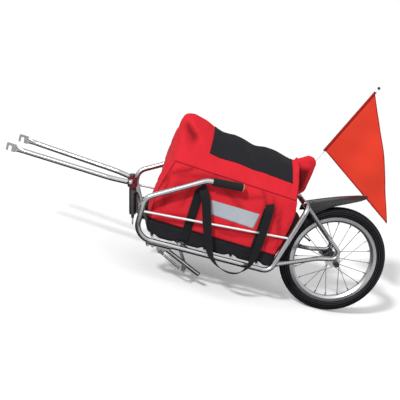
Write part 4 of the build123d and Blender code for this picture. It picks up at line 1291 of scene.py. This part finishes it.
def addFlag():
    outs = [4.6 + (flag["fly"] - 4.6) * k / 72 for k in range(73)]
    cloth = gridSheet("flagCloth", [[flagPoint(out, j / 36) for j in range(37)] for out in outs])
    thickened(cloth, flag["thick"])
    finishPiece(cloth, flagOrange, "flag", ["flag_cloth"])
    start, run, fly = flagFrame()
    angles = [2 * pi * j / 20 for j in range(21)]
    rows = []
    for k in range(41):
        at = flag["hoist"] * k / 40
        radius = flag["sleeve"] - 0.25 + 0.18 * sin(at * 0.5)
        rows.append([start + run * at + (fly * cos(a) + Vector((0, sin(a), 0))) * radius for a in angles])
    sleeve = gridSheet("flagSleeve", rows)
    addModifier(sleeve, "WELD", merge_threshold=0.00005)
    addModifier(sleeve, "SOLIDIFY", thickness=0.6 * mm, offset=0.0)
    finishPiece(sleeve, flagHemRed, "flag")
    for name, share in (("flagHemLow", 0.0), ("flagHemHigh", 1.0)):
        rows = []
        for out in outs:
            height = flag["hoist"] * (1 - out / flag["cut"])
            width = min(flag["hem"] / max(height, 1.0), 0.5)
            edge = [share + (width * (1 - 2 * share)) * j / 4 for j in range(5)]
            rows.append([flagPoint(out, e) for e in edge])
        hem = gridSheet(name, rows)
        addModifier(hem, "SOLIDIFY", thickness=2.6 * mm, offset=0.0)
        finishPiece(hem, flagHemRed, "flag")
    print("flag sewn")


addFlag()


# Crown yoke: the bar that carries both tines, with domed ends

yoke = {"centre": (-785.6, 0, 285.8), "side": (-0.27085, -0.95931, -0.07972), "radius": 10.4, "half": 38.0}


def addYoke():
    deselectAll()
    bpy.ops.mesh.primitive_cylinder_add(vertices=40, radius=yoke["radius"] * mm,
                                        depth=2 * (yoke["half"] - 7) * mm)
    bar = bpy.context.object
    bar.name = "crownYoke"
    bpy.ops.object.mode_set(mode="EDIT")
    for end in (-1, 1):
        selectOnly(bar.data, faceTest=lambda f: f.normal.z * end > 0.9)
        for lift, size in ((3.4, 0.86), (2.4, 0.74), (1.2, 0.5)):
            bpy.ops.mesh.extrude_region_move(TRANSFORM_OT_translate={"value": (0, 0, end * lift * mm)})
            bpy.ops.transform.resize(value=(size, size, 1))
    bpy.ops.object.mode_set(mode="OBJECT")
    turn = Vector((0, 0, 1)).rotation_difference(Vector(yoke["side"])).to_matrix().to_4x4()
    bar.data.transform(Matrix.Translation(Vector(yoke["centre"]) * mm) @ turn)
    smoothByAngle(bar, 50)
    finishPiece(bar, silverPaint, "hitch_fork", ["crown_bar"])
    print("yoke turned")


addYoke()


# Floor, light and camera

def seenRays(tree):  # 1 for the rays that show in the picture, straight, mirrored or through glass
    path = tree.nodes.new("ShaderNodeLightPath")
    shown = mathNode(tree, "MAXIMUM", path.outputs["Is Camera Ray"], path.outputs["Is Glossy Ray"])
    return mathNode(tree, "MAXIMUM", shown, path.outputs["Is Transmission Ray"])


def floorMaterial(name, colour, glowShare):  # white to the camera, still catching the shadow
    material = bpy.data.materials.new(name)
    material.use_nodes = True
    tree = material.node_tree
    tree.nodes.clear()
    out = tree.nodes.new("ShaderNodeOutputMaterial")
    diffuse = tree.nodes.new("ShaderNodeBsdfDiffuse")
    glow = tree.nodes.new("ShaderNodeEmission")
    glow.inputs["Color"].default_value = (1, 1, 1, 1)
    seen = seenRays(tree)
    tree.links.new(mathNode(tree, "MULTIPLY", seen, glowShare), glow.inputs["Strength"])
    tree.links.new(mixColours(tree, seen, colour, studio["floorSeen"]), diffuse.inputs["Color"])
    both = tree.nodes.new("ShaderNodeAddShader")
    tree.links.new(diffuse.outputs[0], both.inputs[0])
    tree.links.new(glow.outputs[0], both.inputs[1])
    tree.links.new(both.outputs[0], out.inputs["Surface"])
    return material


studio = {  # in metres, watts and degrees
    "floorGlow": 0.17, "floorColour": (0.7, 0.7, 0.7, 1), "floorSeen": (0.97, 0.97, 0.97, 1), "world": 0.42,
    "key": 2.5, "keyAngle": 6, "keyFrom": (-0.9, -1.1, 1.0),
    "softboxes": [((-0.9, -3.0, 1.5), 2.2, 8.0), ((-0.2, -1.3, 2.7), 1.6, 8.0)],
    "cardColour": (0.05, 0.05, 0.055, 1), "cardInner": 1.5, "cardOuter": 9.0, "cardMiddle": (-0.5, 0, 0.002),
    "padSize": (1.0, 0.48), "padMiddle": (-0.45, 0, 0.001),
}
view = {  # the photograph's camera, in metres, with the way to its right, down and ahead
    "place": (-1.2236, -3.3577, 1.1208), "lens": 90.0, "sensor": 36.0,
    "right": (0.947, -0.1192, 0.2983), "down": (0.2555, -0.2834, -0.9243), "ahead": (0.1947, 0.9516, -0.2379),
}


def linked(name, data):
    obj = bpy.data.objects.new(name, data)
    bpy.context.scene.collection.objects.link(obj)
    return obj


def aimed(obj, direction):
    obj.rotation_mode = "QUATERNION"
    obj.rotation_quaternion = Vector(direction).to_track_quat("Z", "Y")


def addFloor():
    deselectAll()
    bpy.ops.mesh.primitive_grid_add(x_subdivisions=4, y_subdivisions=4, size=60, location=(0, 0, -0.0004))
    ground = settle(bpy.context.object)
    ground.name = "studioFloor"
    ground.data.materials.append(floorMaterial("paleFloor", studio["floorColour"], studio["floorGlow"]))


def addDarkCards():  # met by reflections alone, one round the set and one under it, they edge the tubes
    deselectAll()
    bpy.ops.mesh.primitive_circle_add(vertices=64, radius=studio["cardInner"], location=studio["cardMiddle"])
    card = settle(bpy.context.object)
    card.name = "reflectionCard"
    bpy.ops.object.mode_set(mode="EDIT")
    bpy.ops.mesh.select_all(action="SELECT")
    bpy.ops.mesh.extrude_edges_move()
    grow = studio["cardOuter"] / studio["cardInner"]
    bpy.ops.transform.resize(value=(grow, grow, 1), center_override=studio["cardMiddle"])
    bpy.ops.object.mode_set(mode="OBJECT")
    deselectAll()
    bpy.ops.mesh.primitive_circle_add(vertices=64, radius=1, location=studio["padMiddle"], fill_type="NGON")
    pad = bpy.context.object
    pad.name = "reflectionPad"
    pad.scale = (*studio["padSize"], 1)
    settle(pad)
    cardMaterial = newMaterial("darkCard", Roughness=1.0, Base_Color=studio["cardColour"])[0]
    for dark in (card, pad):
        dark.data.materials.append(cardMaterial)
        dark.visible_camera = dark.visible_diffuse = dark.visible_shadow = dark.visible_transmission = False


def addWorld():
    world = bpy.data.worlds.new("studioWorld")
    bpy.context.scene.world = world
    world.use_nodes = True
    tree = world.node_tree
    background = tree.nodes["Background"]
    bright = mathNode(tree, "MULTIPLY_ADD", seenRays(tree), 1.0 - studio["world"], studio["world"])
    tree.links.new(bright, background.inputs["Strength"])
    background.inputs["Color"].default_value = (1, 1, 1, 1)


def addLights():
    key = linked("keyLight", bpy.data.lights.new("keyLight", "SUN"))
    key.data.energy, key.data.angle = studio["key"], radians(studio["keyAngle"])
    aimed(key, studio["keyFrom"])
    for number, (place, size, energy) in enumerate(studio["softboxes"]):
        name = f"softbox{number + 1}"
        box = linked(name, bpy.data.lights.new(name, "AREA"))
        box.data.energy, box.data.size = energy, size
        box.location = place
        aimed(box, box.location - Vector((-0.4, 0, 0.3)))


def addCamera():
    camera = linked("photoCamera", bpy.data.cameras.new("photoCamera"))
    camera.data.lens, camera.data.sensor_width = view["lens"], view["sensor"]
    turn = Matrix([view["right"], [-v for v in view["down"]], [-v for v in view["ahead"]]]).transposed()
    camera.matrix_world = Matrix.Translation(view["place"]) @ turn.to_4x4()
    bpy.context.scene.camera = camera


addFloor()
addDarkCards()
addWorld()
addLights()
addCamera()
bpy.context.scene.view_settings.view_transform = "Standard"
print("studio lit")
